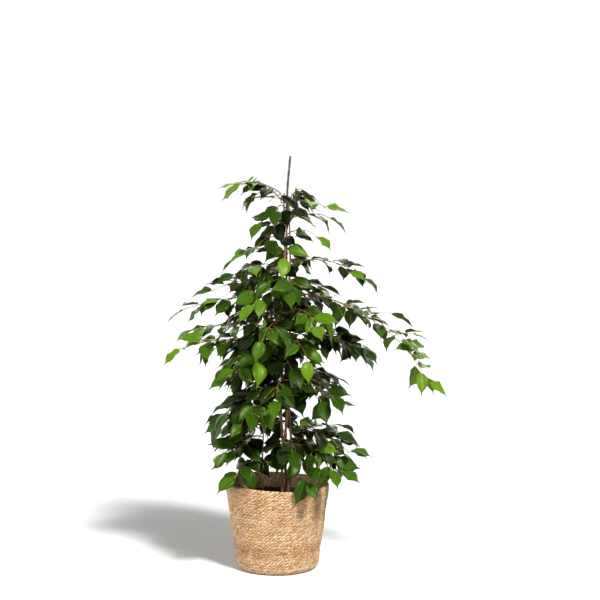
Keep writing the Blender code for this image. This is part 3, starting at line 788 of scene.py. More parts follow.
def leaf_roots(points, spacing, first_at):
    """Where a twig's leaves sit: the spot, the twig's direction, and whether it is the last."""
    line = samples(points, WALK)
    end = len(line) - 1
    first = round(first_at / WALK)
    count = max(2, round((end - first) * WALK / spacing))
    roots = []
    for i in range(count + 1):
        index = first + round((end - LOOK_ON - first) * i / count)
        forward = (line[min(index + LOOK_ON, end)] - line[index - LOOK_BACK]).normalized()
        roots.append((line[index], forward, i == count))
    return roots


def grow_leaves(name, points, space, spacing=LEAF_SPACING, twig=None, facing=None):
    """The leaves of one twig that find room. Each place on the twig has a seed of its own.

    twig is the twig's owner, for leaves beyond the solid ones. facing is how far the spray heads to
    the front or the back, from 0 to 1, where the twig isn't its own.
    """
    kind, first_at = (FURTHER_KIND, spacing / 2) if twig else (SOLID_KIND, FIRST_LEAF)
    line = samples(points, 6 * WALK)
    grown = []
    for number, place in enumerate(leaf_roots(points, spacing, first_at)):
        draw = random.Random(f"{name} {number}")
        if twig and random.Random(f"{name} {number} full").random() > fullness(place[0]):
            continue
        for _ in range(LEAF_TRIES):
            leaf = draw_leaf(place, number, draw, facing, **kind)
            shape = leaf.hull()
            if space.is_clear(*shape, twig or name) and leaf.clears(line):
                space.add(*shape, f"{name} leaf")
                grown.append(leaf)
                break
    return grown


class Spray:
    """A side shoot of the plant: its twigs, as (points, radii), and its leaves, as (leaf, tone)."""

    def __init__(self, name, points, curve, tone):
        self.name = name
        self.points = points
        self.twigs = [tapered(curve, FINE_TWIG_RADII)]
        self.tone = TONES[tone]
        self.slot = f"leaf_{tone}"
        self.leaves = []

    def add_leaves(self, leaves):
        """Gives each leaf a tone of its own, a little brighter towards the spray's tip, darker near the
        stem for age and as painted shade inside the crown.
        """
        root = self.points[0]
        reach = (self.points[-1] - root).length
        draw = random.Random(f"{self.name} tones {len(self.leaves)}")
        for leaf in leaves:
            out = min(1.0, (leaf.matrix.translation - root).length / reach)
            tone = self.tone[0] + (self.tone[1] - self.tone[0]) * out**TONE_RISE
            tone += TONE_SPREAD * draw.uniform(-1, 1)
            if draw.random() < YOUNG_SHARE:
                tone = YOUNG_TONE
            self.leaves.append((leaf, min(1.0, max(0.0, tone))))

    def facing(self):
        """How far the spray heads to the front or the back, from 0 to 1."""
        across = self.points[-1] - self.points[0]
        return abs(across.y) / math.hypot(across.x, across.y)


def route_sprays(stems, shoot, space):
    """The sprays with bare twigs, each swung until it is clear of what is there."""
    rows = [(stems_facing(stems, row), row) for row in SPRAYS]
    rows += [([shoot], row) for row in SHOOT_SPRAYS]
    sprays = []
    taken = []
    for number, (carriers, row) in enumerate(rows, 1):
        for stem, swing, gaps in itertools.product(carriers, TWIG_SWINGS, TWIG_GAPS):
            points = twig_curve(stem, row, swing, gaps * FIT_GAP, None)
            line = samples(points, 3 * WALK)
            near = any((one - other).length < TWIG_CLEAR for one in line for other in taken)
            shape = twig_shape(points, TWIG_RADII)
            if not near and space.is_clear(*shape, None):
                break
        name = f"spray_{number:02d}"
        space.add(*shape, name)
        taken += line
        count = round((points[-1] - points[0]).length / TWIG_FINENESS)
        curve = twig_curve(stem, row, swing, gaps * FIT_GAP, count)
        curve[0] = stem.at(row[0])[0]
        sprays.append(Spray(name, points, curve, row[-1]))
    return sprays


def draw_side_shoot(line, index, side, draw):
    """The points of a side shoot that might leave the twig here."""
    ahead = line[min(index + LOOK_BACK, len(line) - 1)]
    forward = (ahead - line[index - LOOK_BACK]).normalized()
    level = flat(forward).normalized()
    aside = level.cross(UP) * side
    angle = math.radians(draw.uniform(*SIDE_SHOOT_ANGLES))
    heading = level * math.cos(angle) + aside * math.sin(angle)
    heading = (heading + UP * draw.uniform(*SIDE_SHOOT_RISES)).normalized()
    length = draw.uniform(*SIDE_SHOOT_LENGTHS) * (1 - SIDE_SHOOT_TAPER * index / len(line))
    sag = SIDE_SHOOT_SAG
    shares = even_steps((0, 1), SIDE_SHOOT_POINTS)
    return [line[index] + heading * length * t - UP * sag * length * t * t for t in shares]


def grow_side_shoots(spray, space):
    """Short shoots with leaves of their own, to one side by turns, where they find room."""
    line = samples(spray.points, WALK)
    first = round(SIDE_SHOOT_FROM / WALK)
    places = range(first, round(len(line) * SIDE_SHOOT_TO), round(SIDE_SHOOT_EVERY / WALK))
    for number, index in enumerate(places):
        draw = random.Random(f"{spray.name} side {number}")
        if draw.random() > fullness(line[index]):
            continue
        for attempt in range(SIDE_SHOOT_TRIES):
            side = 1 if (number + attempt) % 2 else -1
            points = draw_side_shoot(line, index, side, draw)
            shape = twig_shape(points, SIDE_SHOOT_RADII)
            if space.is_clear(*shape, spray.name):
                owner = f"{spray.name} side {number}"
                space.add(*shape, owner)
                curve = smooth_line(points, TWIG_FINENESS)
                spray.twigs.append(tapered(curve, SIDE_SHOOT_RADII))
                more = (SIDE_LEAF_EVERY, owner, spray.facing())
                spray.add_leaves(grow_leaves(owner, points, space, *more))
                break


def grow(stems, shoot):
    """All the sprays. The solid leaves' places come first, so that the rest grows round them."""
    space = Space()
    for name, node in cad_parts.items():
        if not name.startswith("spray"):
            space.add(*points_and_faces(node.data), name)
    sprays = route_sprays(stems, shoot, space)
    for spray in sprays:
        spray.add_leaves(grow_leaves(spray.name, spray.points, space))
    for spray in sprays:
        grow_side_shoots(spray, space)
    for spray in sprays:
        name, more = f"{spray.name} between", (BETWEEN_LEAF_EVERY, spray.name)
        spray.add_leaves(grow_leaves(name, spray.points, space, *more))
    return sprays


def add_blade(bm, leaf, growth, tone):
    """A blade shaped from a grid, closed at both ends, then given its thickness."""
    steps = len(BLADE_PLACES) - 1
    sizes = {"x_segments": steps, "y_segments": BLADE_COLUMNS, "size": 1}
    verts = bmesh.ops.create_grid(bm, **sizes, calc_uvs=True)["verts"]
    for vertex in verts:
        along = BLADE_PLACES[round((vertex.co.x + 1) / 2 * steps)]
        vertex.co = leaf.surface(along, vertex.co.y)
    bmesh.ops.remove_doubles(bm, verts=verts, dist=WELD)
    # A dict keeps its order, so each run gives the same mesh.
    upper = dict.fromkeys(face for vertex in verts if vertex.is_valid for face in vertex.link_faces)
    thickness = bpy.context.scene.fig_foliage.thickness
    made = bmesh.ops.solidify(bm, geom=list(upper), thickness=thickness)["geom"]
    lower = {item for item in made if isinstance(item, bmesh.types.BMFace)}
    rim = {face for item in (*upper, *lower) for edge in item.edges for face in edge.link_faces}
    for face in rim:
        face.smooth = True
        for loop in face.loops:
            loop[growth] = (tone, 1.0 if face in lower else 0.0, 0.0, 1.0)


def petiole(leaf, spray):
    """The petiole's line, from the nearest point of the spray's twigs into the blade's foot."""
    root = leaf.matrix.translation
    start = min((p for line, _ in spray.twigs for p in line), key=lambda p: (p - root).length)
    return [start, *(leaf.spot(PETIOLE * at, 0, 0) for at in PETIOLE_PLACES)], PETIOLE_RADII


def bud(line):
    """The pointed bud at a twig's end."""
    end, before = line[-1], line[-2]
    forward = (end - before).normalized()
    tip = forward * BUD_LENGTH
    return [end - forward * BUD_FOOT, end + tip * BUD_WIDEST, end + tip], BUD_RADII


def spray_mesh(spray):
    """One spray's twigs, petioles, buds and blades as one mesh, with its growth written on it."""
    bm = bmesh.new()
    bm.from_mesh(tubes(spray.twigs, 1))
    wood = set(bm.faces)
    green = [petiole(leaf, spray) for leaf, _ in spray.leaves]
    green += [bud(line) for line, _ in spray.twigs]
    bm.from_mesh(tubes(green))
    bm.loops.layers.uv.verify()
    growth = bm.loops.layers.float_color.new("growth")
    root = spray.points[0]
    reach = (spray.points[-1] - root).length
    speed, greenest = TWIG_AGES
    for face in bm.faces:
        out = (face.calc_center_median() - root).length / reach
        age = min(greenest, speed * out) if face in wood else 1.0
        face.smooth = True
        for loop in face.loops:
            loop[growth] = (age, 0.0, 1.0, 1.0)
    for leaf, tone in spray.leaves:
        add_blade(bm, leaf, growth, tone)
    sort_faces(bm)
    return finished(bm)


def foliage_finish(settings):
    """Glossy leaves with a pale rib and fine veins, paler below, on twigs from brown to green."""
    finish = Finish("fig_foliage")
    tone = finish.attribute("growth")
    under, wood = tone.output(1), tone.output(2)
    along = finish.axes(finish.chart("UVMap"))
    across = abs(along.output(1) - 0.5) * 2
    rib = across.band(0.09, 0.015)
    veins = (along * 15 - across * 3.2).wave() ** 4 * across.band(0.0, 0.15)
    patches = finish.noise(finish.place(), 35)
    shade = tone + patches * 0.22 - 0.11
    # The lowest tones run to a near-black green: old leaves, darkened further as painted shade inside
    # the crown.
    stops = zip((0.09, 0.40, 0.75, 1.0), (settings.dark, settings.mid, settings.bright, settings.lime))
    upper = finish.ramp(shade, *stops)
    youth = tone.band(0.0, 0.9)
    upper = finish.mix(veins * (youth * 0.10 + 0.02), upper, settings.vein)
    upper = finish.mix(rib * (youth * 0.26 + 0.05), upper, settings.vein)
    lower = finish.ramp(shade, (0.1, settings.under), (0.9, settings.under_young))
    lower = finish.mix(rib * 0.7, lower, settings.rib_under)
    bark = finish.ramp(tone, (0.0, settings.twig_old), (0.55, settings.twig), (1.0, settings.petiole))
    grain = finish.noise(finish.place((1, 1, 0.3)), 900)
    bark = finish.mix(grain * 0.5, bark, settings.twig_grain)
    leaf_gloss = settings.gloss + under * 0.25 + patches * 0.12
    finish.surface(
        Base_Color=finish.mix(wood, finish.mix(under, upper, lower), bark),
        Roughness=leaf_gloss * (1 - wood) + wood * 0.7,
        Specular_IOR_Level=settings.shine,
        Specular_Tint=settings.shine_tint,
    )
    finish.bump(veins * -0.2 - rib * 0.8 + patches * 0.8, 0.35, 0.0008)
    return finish.material


def wall_point(radius, height, angle, off):
    """A point of the basket's wall, slumped as the soft real one is. off is (outwards, upwards)."""
    radius, height = radius + off[0], height + off[1]
    aside = math.remainder(angle - DENT_ANGLE, math.tau) / DENT_SPREAD[0]
    above = (height - DENT_HEIGHT) / DENT_SPREAD[1]
    if radius > POT_BASE_RADIUS:
        radius -= DENT_DEPTH * math.exp(-aside * aside - above * above)
    lift = RIM_WAVE * math.sin(RIM_WAVES * angle + 1) - RIM_TILT * math.cos(angle)
    height += lift * (height / BASKET_HEIGHT) ** 2
    return around(radius, angle, height)


def inner_radius(height):
    """The basket's inner radius, upright from the floor to the first of the inner heights."""
    table = [(at, between(BASKET_OUTLINE, at) - BASKET_WALL) for at in INNER_HEIGHTS]
    return between(table, height)


def braid_stations(settings):
    """The basket's wall from its foot, over the rim and down inside: one row for each ring of points.

    Each is (radius, height, outwards, upwards, twist, swell): the wall's line, the way that strands
    stand out of it, how far the strands have leaned round, and how high they stand there.
    """
    row = (BASKET_HEIGHT - ROWS_FROM) / ROW_COUNT
    steps = len(STRAND_ROWS)
    stations = [(0.0, 0.0, 0, 0, 0, 0), (BASKET_OUTLINE[0][1] - FOOT_INSET, 0.0, 0, 0, 0, 0)]
    for number in range(-1, ROW_COUNT):
        for step, swell in enumerate(STRAND_ROWS):
            share = step / steps
            height = max(LOWEST_ROW, ROWS_FROM + row * (number + share))
            bulge = math.sin(math.pi * share)
            radius = between(BASKET_OUTLINE, height) + ROW_BULGE[0]
            radius += (ROW_BULGE[1] - ROW_BULGE[0]) * bulge
            stations.append((radius, height, 1, 0, settings.lean * (number + share), swell))
    top = BASKET_OUTLINE[-1][1]
    turn = settings.lean * ROW_COUNT
    for share in RIM_PLACES:
        angle = math.pi * share
        radius = top - BASKET_WALL / 2 + (BASKET_WALL / 2 - RIM_INSET) * math.cos(angle)
        height = BASKET_HEIGHT + RIM_RISE * math.sin(angle)
        stations.append((radius, height, *RIM_STAND, turn, RIM_SWELL))
    for number in range(INSIDE_ROWS):
        for step, swell in enumerate(STRAND_ROWS):
            share = step / steps
            height = BASKET_HEIGHT - row * (number + share)
            radius = inner_radius(height) + INSIDE_BULGE - INSIDE_BULGE * math.sin(math.pi * share)
            twist = turn + settings.lean * (number + share)
            stations.append((radius, height, INSIDE_STAND, 0, twist, swell * INSIDE_SWELL))
    for height in (*INNER_HEIGHTS[-2::-1], BASKET_FLOOR):
        stations.append((inner_radius(height), height, 0, 0, turn, 0))
    stations.append((0.0, BASKET_FLOOR, 0, 0, turn, 0))
    return stations


@functools.cache
def strand_draws(key):
    """The random height and tone of a strand, by its number in its row and the row's number."""
    draw = random.Random(f"strand {key}")
    return draw.uniform(*STRAND_HEIGHTS), draw.random()


def basket_mesh(settings):
    """The braided basket as one closed skin, woven from a grid that runs along the strands."""
    stations = braid_stations(settings)
    across, steps = len(STRAND_COLUMNS), len(STRAND_ROWS)
    columns, rows = settings.strands * across, len(stations) - 1
    bm = bmesh.new()
    chart = bm.loops.layers.uv.new("braid")
    strand = bm.loops.layers.float_color.new("strand")
    verts = bmesh.ops.create_grid(bm, x_segments=columns, y_segments=rows, size=1)["verts"]
    places = {}
    for vertex in verts:
        x, y, _ = vertex.co
        places[vertex] = (round((x + 1) / 2 * columns), round((y + 1) / 2 * rows))

    def drawn(column, row):
        """The height and tone of the strand at a place in the grid."""
        return strand_draws(((column // across) % settings.strands, (row - 2) // steps))

    swells = {}
    for vertex, (column, row) in places.items():
        radius, height, outwards, upwards, twist, swell = stations[row]
        swell *= STRAND_COLUMNS[column % across]
        stand = settings.relief * swell * drawn(column, row)[0]
        angle = math.tau * column / columns + twist
        place = around(BASKET_NOISE[0], angle, height * BASKET_NOISE[1])
        free = max(0.0, min(1.0, height / BASKET_CALM, (BASKET_HEIGHT - height) / BASKET_CALM))
        angle += settings.stray * free * layered(place, STRAY_LAYERS)
        height += settings.wander * free * layered(place, WANDER_LAYERS)
        radius += settings.lumps * free * max(0, outwards) * layered(place, LUMP_LAYERS)
        vertex.co = wall_point(radius, height, angle, (outwards * stand, upwards * stand))
        swells[vertex] = swell
    for face in bm.faces:
        low, foot = (min(places[vertex][i] for vertex in face.verts) for i in (0, 1))
        tone = drawn(low, foot)[1]
        for loop in face.loops:
            column, row = places[loop.vert]
            loop[chart].uv = (column / across + tone * 9, row / steps)
            # The strand's height goes with its tone, as the mask for the painted shade between strands.
            loop[strand] = (tone, swells[loop.vert], 0, 1)
    bmesh.ops.remove_doubles(bm, verts=bm.verts, dist=WELD)
    bmesh.ops.recalc_face_normals(bm, faces=bm.faces)
    return finished(bm)


def braid_finish(settings):
    """Braided plant fibre: pale to brown strands, streaked along their length, with painted shade
    between them and in a band low on the wall.
    """
    finish = Finish("braided_fibre")
    strand = finish.attribute("strand")
    crest = strand.output(1)
    fibres = finish.noise(finish.chart("braid", (14, 0.9, 1)), 1, 4, 0.7)
    patches = finish.noise(finish.place((0.6, 0.6, 5)), 14, 3)
    grain = finish.noise(finish.place((1, 1, 1.3)), 230, 2).band(0.36, 0.64)
    height = finish.axes(finish.place()).output(2)
    # A band of painted shade round the wall from about 3 to 8 cm up, darkening the strands there for
    # how the light falls.
    painted_shade_band = height.band(0.030, 0.046) * height.band(0.078, 0.060)
    shade = strand * 0.26 + fibres * 0.42 + patches * 0.26 + grain * 0.34 - painted_shade_band * 0.12 - 0.13
    stops = zip((0.12, 0.36, 0.62, 0.92), (settings.brown, settings.tan, settings.straw, settings.pale))
    colour = finish.ramp(shade, *stops)
    # Painted shade between the strands: where a strand sinks to its neighbours, speckled brown and then
    # the shade colour are mixed in.
    specks = finish.noise(finish.place(), 160, 2).band(0.50, 0.62)
    colour = finish.mix(crest.band(0.80, 0.30) * (specks * 0.8 + 0.1), colour, settings.brown)
    colour = finish.mix(crest.band(0.40, 0.0) * (specks * 0.35 + 0.5), colour, settings.shade)
    finish.surface(Base_Color=colour, Roughness=0.86, Specular_IOR_Level=0.25)
    finish.bump(fibres + finish.noise(finish.place(), 1400) * 0.4, 0.55, 0.0007)
    return finish.material


def turned(profile, steps):
    """A bmesh turned about Z from (radius, height) points."""
    bm = bmesh.new()
    verts = [bm.verts.new((radius, 0, height)) for radius, height in profile]
    edges = [bm.edges.new(pair) for pair in zip(verts, verts[1:])]
    full = {"axis": UP, "angle": math.tau, "steps": steps, "use_merge": True}
    bmesh.ops.spin(bm, geom=[*verts, *edges], cent=(0, 0, 0), **full)
    bmesh.ops.remove_doubles(bm, verts=bm.verts, dist=WELD)
    sort_faces(bm)
    bmesh.ops.recalc_face_normals(bm, faces=bm.faces)
    return bm


def film_mesh(settings):
    """The thin clear film inside the basket, wrinkled where it stands free above the pot."""
    heights = [FILM_TOP - FILM_ROW * i for i in range(FILM_ROWS)]
    heights += [*INNER_HEIGHTS[-2::-1], BASKET_FLOOR + FIT_GAP]
    profile = [(inner_radius(height) - FILM_GAP, height) for height in heights]
    bm = turned([*profile, (0, heights[-1])], FILM_SIDES)
    for vertex in bm.verts:
        x, y, z = vertex.co
        radius, angle = math.hypot(x, y), math.atan2(y, x)
        free = min(1.0, max(0.0, (z - FILM_LOOSE[0]) / FILM_LOOSE[1]))
        place = around(FILM_NOISE[0], angle, z * FILM_NOISE[1])
        radius -= settings.wrinkle * free * min(1.0, layered(place, FOLD_LAYERS, abs))
        sag = free * FILM_SAG * layered(place, SAG_LAYERS)
        vertex.co = wall_point(radius, z, angle, (0, sag))
    bmesh.ops.solidify(bm, geom=bm.faces[:], thickness=FILM_THICKNESS)
    sort_faces(bm)
    bmesh.ops.recalc_face_normals(bm, faces=bm.faces)
    return finished(bm)


def film_finish(settings):
    """Clear film: mostly see-through, with sharp highlights on its wrinkles, partly painted there as
    paler film.
    """
    finish = Finish("clear_film")
    creases = finish.noise(finish.place((1, 1, 0.5)), 260, 4, 0.6)
    # Where the film creases it turns opaque and pale: a painted highlight, over the film's faint even
    # haze.
    cover = creases.band(0.55, 0.75) * 0.45 + settings.film_cover
    finish.surface(Base_Color=settings.film, Roughness=creases * 0.12 + 0.06, Alpha=cover)
    finish.bump(creases, 0.5, 0.001)
    return finish.material


def pot_radius(height):
    """The nursery pot's outer radius at a height."""
    slope = (POT_TOP_RADIUS - POT_BASE_RADIUS) / (POT_HEIGHT - POT_FOOT)
    return POT_BASE_RADIUS + slope * (height - POT_FOOT)


def pot_mesh():
    """The nursery pot, turned, with a rolled lip."""
    floor = POT_FOOT + POT_WALL
    lip = POT_TOP_RADIUS + POT_LIP_OUT
    inside = POT_TOP_RADIUS - POT_WALL
    under_lip = POT_HEIGHT - POT_LIP
    profile = [
        (0, floor),
        (pot_radius(floor) - POT_WALL, floor),
        (inside, POT_HEIGHT - POT_ROUNDING),
        (inside + POT_ROUNDING, POT_HEIGHT),
        (lip - POT_ROUNDING, POT_HEIGHT),
        (lip, POT_HEIGHT - POT_ROUNDING),
        (lip, under_lip),
        (lip - POT_ROUNDING, under_lip - POT_ROUNDING / 2),
        (pot_radius(under_lip), under_lip - POT_ROUNDING / 2),
        (pot_radius(POT_FOOT), POT_FOOT),
        (0, POT_FOOT),
    ]
    mesh = finished(turned(profile, POT_SIDES))
    mesh.set_sharp_from_angle(angle=math.radians(35))
    return mesh


def pot_finish(settings):
    """Matt black plastic with faint scuffs."""
    finish = Finish("black_plastic")
    scuffs = finish.noise(finish.place(), 120, 5)
    colour = finish.mix(scuffs * 0.3, settings.pot, settings.scuffs)
    finish.surface(Base_Color=colour, Roughness=scuffs * 0.25 + 0.32)
    finish.bump(scuffs, 0.15, 0.0004)
    return finish.material


def soil_lump(spot):
    """How high the soil's lumps stand at a spot, before their setting."""
    return noise.fractal(spot * SOIL_FINENESS, *SOIL_OCTAVES)


def soil_mesh(settings):
    """Potting soil: a lumpy top, strewn with crumbs."""
    base = POT_FOOT + POT_WALL + FIT_GAP
    foot, edge = (pot_radius(height) - POT_WALL - 2 * FIT_GAP for height in (base, SOIL_TOP))
    rings = [(edge * i / SOIL_RINGS, SOIL_TOP) for i in range(SOIL_RINGS + 1)]
    bm = turned([*rings, (foot, base), (0, base)], POT_SIDES)
    for vertex in bm.verts:
        if vertex.co.z > SOIL_TOP - WELD:
            inside = min(1.0, (edge - vertex.co.xy.length) / SOIL_EDGE)
            vertex.co.z += settings.lumps * soil_lump(vertex.co) * inside
    draw = random.Random("crumbs")
    for _ in range(settings.crumbs):
        angle, out = draw.uniform(0, math.tau), edge * CRUMB_REACH * math.sqrt(draw.random())
        size = draw.uniform(*CRUMB_SIZES)
        spot = around(out, angle, SOIL_TOP)
        spot.z = SOIL_TOP + settings.lumps * soil_lump(spot) + size * CRUMB_LIFT
        squash = [draw.uniform(*CRUMB_SQUASH) * size for _ in range(3)]
        matrix = Matrix.LocRotScale(spot, None, squash)
        bmesh.ops.create_icosphere(bm, subdivisions=1, radius=1, matrix=matrix)
    return finished(bm)


def soil_finish(settings):
    """Dark crumbly soil, its crumbs paler and drier."""
    finish = Finish("potting_soil")
    grains = finish.noise(finish.place(), 700, 6, 0.7)
    patches = finish.noise(finish.place(), 90, 3)
    stops = zip((0.3, 0.62, 0.85), (settings.soil, settings.soil_dry, settings.soil_fibre))
    colour = finish.ramp(grains * 0.6 + patches * 0.4, *stops)
    finish.surface(Base_Color=colour, Roughness=0.95)
    finish.bump(grains, 0.8, 0.0015)
    return finish.material


def rod_mesh(rod, roughness, grain):
    """A stem or stake on a smooth curve, with a rough skin."""
    share, fineness = grain
    line = smooth_line(rod.points, ROD_STEP)
    radii = [rod.at(point.z)[1] for point in line]
    mesh = tubes([(line, radii)], 4)
    for vertex in mesh.vertices:
        centre = min(line, key=lambda point: (point - vertex.co).length)
        out = (vertex.co - centre).normalized()
        place = Vector((vertex.co.x, vertex.co.y, vertex.co.z * ROD_STRETCH))
        vertex.co += out * (roughness * share) * noise.noise(place * fineness)
    mesh.shade_smooth()
    return mesh


def bark_finish(name, old, young, pores):
    """Thin bark with fine rings and pale pores."""
    finish = Finish(name)
    rings = finish.noise(finish.place((0.4, 0.4, 3)), 160, 4)
    grain = finish.noise(finish.place((3, 3, 0.4)), 300, 4)
    dots = finish.noise(finish.place((1, 1, 1.6)), 520, 1).band(0.62, 0.72)
    colour = finish.mix(rings * 0.6 + grain * 0.4, old, young)
    finish.surface(Base_Color=finish.mix(dots * 0.6, colour, pores), Roughness=0.78)
    finish.bump(rings + grain + dots, 0.5, 0.0006)
    return finish.material


def colour(name, default, description):
    colours = {"size": 3, "subtype": "COLOR", "min": 0, "max": 1}
    return FloatVectorProperty(name=name, default=default, description=description, **colours)


def amount(name, default, description, **more):
    return FloatProperty(name=name, default=default, description=description, **more)


def length(name, default, description):
    return amount(name, default, description, min=0, precision=4, unit="LENGTH")


class BasketSettings(bpy.types.PropertyGroup):
    strands: IntProperty(name="Strands", description="In each row", default=72, min=40, max=100)
    relief: length("Relief", 0.0012, "How far a strand stands out")
    lean: amount("Lean", 0.077, "How far round a strand leans", subtype="ANGLE")
    stray: amount("Stray", 0.034, "How far round the strands stray", subtype="ANGLE")
    wander: length("Wander", 0.0022, "How far the rows stray up and down")
    lumps: length("Lumps", 0.0016, "How uneven the soft wall is")
    pale: colour("Pale", (0.66, 0.53, 0.385), "The lightest strands")
    straw: colour("Straw", (0.475, 0.327, 0.183), "Most strands")
    tan: colour("Tan", (0.355, 0.198, 0.086), "Darker strands")
    # The darkest strands' colour, also mixed in, speckled, as painted shade where the strands sink.
    brown: colour("Brown", (0.20, 0.084, 0.026), "The darkest strands")
    # Painted shade, mixed in where the strands sink to their neighbours.
    shade: colour("Shade", (0.055, 0.026, 0.010), "Between the strands")


class PotSettings(bpy.types.PropertyGroup):
    # The film's colour shows in its faint haze and as the painted highlights on its wrinkles.
    film: colour("Film", (0.62, 0.60, 0.56), "The liner's clear film")
    film_cover: amount("Film cover", 0.035, "How much the film hides", min=0, max=1)
    wrinkle: length("Wrinkle", 0.0040, "Depth of the film's wrinkles")
    pot: colour("Pot", (0.012, 0.012, 0.013), "The nursery pot")
    scuffs: colour("Scuffs", (0.06, 0.06, 0.06), "Scuffs on the nursery pot")
    soil: colour("Soil", (0.018, 0.011, 0.007), "Damp soil")
    soil_dry: colour("Dry soil", (0.06, 0.038, 0.022), "The soil's dry crumbs")
    soil_fibre: colour("Soil fibre", (0.16, 0.10, 0.05), "Pale fibres in the soil")
    lumps: length("Lumps", 0.0035, "How uneven the soil's top is")
    crumbs: IntProperty(name="Crumbs", description="Loose crumbs on the soil", default=320, min=0)


class WoodSettings(bpy.types.PropertyGroup):
    stem: colour("Stem", (0.135, 0.052, 0.016), "The stems' bark in its hollows")
    stem_light: colour("Light stem", (0.38, 0.185, 0.068), "The stems' bark on its ridges")
    pores: colour("Pores", (0.28, 0.21, 0.14), "Pores in the bark")
    stake: colour("Stake", (0.024, 0.014, 0.010), "The stake in its hollows")
    stake_light: colour("Light stake", (0.09, 0.052, 0.038), "The stake on its ridges")
    roughness: length("Roughness", 0.0005, "How uneven the bark is")


class FoliageSettings(bpy.types.PropertyGroup):
    thickness: length("Thickness", 0.00035, "Thickness of a blade")
    gloss: amount("Roughness", 0.30, "Roughness of a blade's upper face", min=0, max=1)
    shine: amount("Shine", 0.15, "Strength of reflections", min=0, max=1)
    shine_tint: colour("Shine tint", (0.95, 1.0, 0.55), "Colour of reflections")
    # Near black: an old leaf's deep green, darkened further as painted shade inside the crown.
    dark: colour("Dark", (0.0012, 0.0030, 0.0003), "Old leaves")
    mid: colour("Mid", (0.0155, 0.0475, 0.001), "Grown leaves")
    bright: colour("Bright", (0.043, 0.107, 0.001), "Young leaves")
    lime: colour("Lime", (0.075, 0.150, 0.002), "The youngest leaves")
    vein: colour("Vein", (0.13, 0.21, 0.03), "Rib and veins on the upper face")
    under: colour("Underside", (0.024, 0.042, 0.006), "The lower face of an old leaf")
    under_young: colour("Young underside", (0.10, 0.17, 0.010), "The lower face of a young leaf")
    rib_under: colour("Rib below", (0.20, 0.17, 0.08), "The rib on the lower face")
    twig_old: colour("Old twig", (0.14, 0.06, 0.02), "A twig near its stem")
    twig: colour("Twig", (0.20, 0.11, 0.028), "The middle of a twig")
    petiole: colour("Petiole", (0.27, 0.27, 0.045), "Petioles and twig ends")
    twig_grain: colour("Twig grain", (0.05, 0.03, 0.015), "Dark grain on the twigs")


class StageSettings(bpy.types.PropertyGroup):
    floor: colour("Floor", (0.65, 0.65, 0.65), "The pale floor")
    world: amount("Room light", 0.22, "Light from all round", min=0)
    backdrop: amount("Backdrop", 4.8, "Shine from behind", min=0)
    backdrop_hue: colour("Backdrop hue", (0.97, 1.0, 0.82), "Its colour, as the leaves mirror it")
    key: amount("Key light", 5.8, "Strength of the light from the right", min=0)
    fill: amount("Fill", 3.2, "Strength of the light from the left", min=0)
    softness: amount("Softness", 0.18, "How wide the key light is", subtype="ANGLE")
    fill_softness: amount("Fill softness", 1.3, "How wide the fill light is", subtype="ANGLE")
    lens: amount("Lens", 91.1, "Focal length", unit="CAMERA")


class FIG_OT_basket(bpy.types.Operator):
    """Braid the basket"""

    bl_idname = "fig.basket"
    bl_label = "Basket"

    def execute(self, context):
        settings = context.scene.fig_basket
        add_piece("braided_basket", basket_mesh(settings), braid_finish(settings), "basket")
        return {"FINISHED"}


class FIG_OT_liner(bpy.types.Operator):
    """Line the basket with clear film"""

    bl_idname = "fig.liner"
    bl_label = "Liner"

    def execute(self, context):
        settings = context.scene.fig_pot
        add_piece("liner_film", film_mesh(settings), film_finish(settings), "basket_liner")
        return {"FINISHED"}


class FIG_OT_pot(bpy.types.Operator):
    """Make the nursery pot and fill it with soil"""

    bl_idname = "fig.pot"
    bl_label = "Pot and soil"

    def execute(self, context):
        settings = context.scene.fig_pot
        add_piece("grower_pot", pot_mesh(), pot_finish(settings), "nursery_pot")
        add_piece("potting_soil", soil_mesh(settings), soil_finish(settings), "soil")
        return {"FINISHED"}


class FIG_OT_stems(bpy.types.Operator):
    """Grow the stems and the shoot, and set the stake"""

    bl_idname = "fig.stems"
    bl_label = "Stems and stake"

    def execute(self, context):
        settings = context.scene.fig_wood
        bark = bark_finish("fig_bark", settings.stem, settings.stem_light, settings.pores)
        for number, stem in enumerate(make_stems(), 1):
            mesh = rod_mesh(stem, settings.roughness, STEM_GRAIN)
            add_piece(f"trunk_{number}", mesh, bark, f"stem_{number}")
        mesh = rod_mesh(Rod(SHOOT_ROUTE, SHOOT_RADII), settings.roughness, SHOOT_GRAIN)
        add_piece("side_trunk", mesh, bark, "shoot")
        wood = bark_finish("stake_wood", settings.stake, settings.stake_light, settings.pores)
        mesh = rod_mesh(make_stake(), settings.roughness, STAKE_GRAIN)
        add_piece("support_stake", mesh, wood, "stake")
        return {"FINISHED"}


class FIG_OT_foliage(bpy.types.Operator):
    """Grow the sprays of leaves"""

    bl_idname = "fig.foliage"
    bl_label = "Foliage"

    def execute(self, context):
        finish = foliage_finish(context.scene.fig_foliage)
        for spray in grow(make_stems(), Rod(SHOOT_ROUTE, SHOOT_RADII)):
            name = spray.name.replace("spray", "foliage")
            add_piece(name, spray_mesh(spray), finish, spray.name)
        return {"FINISHED"}


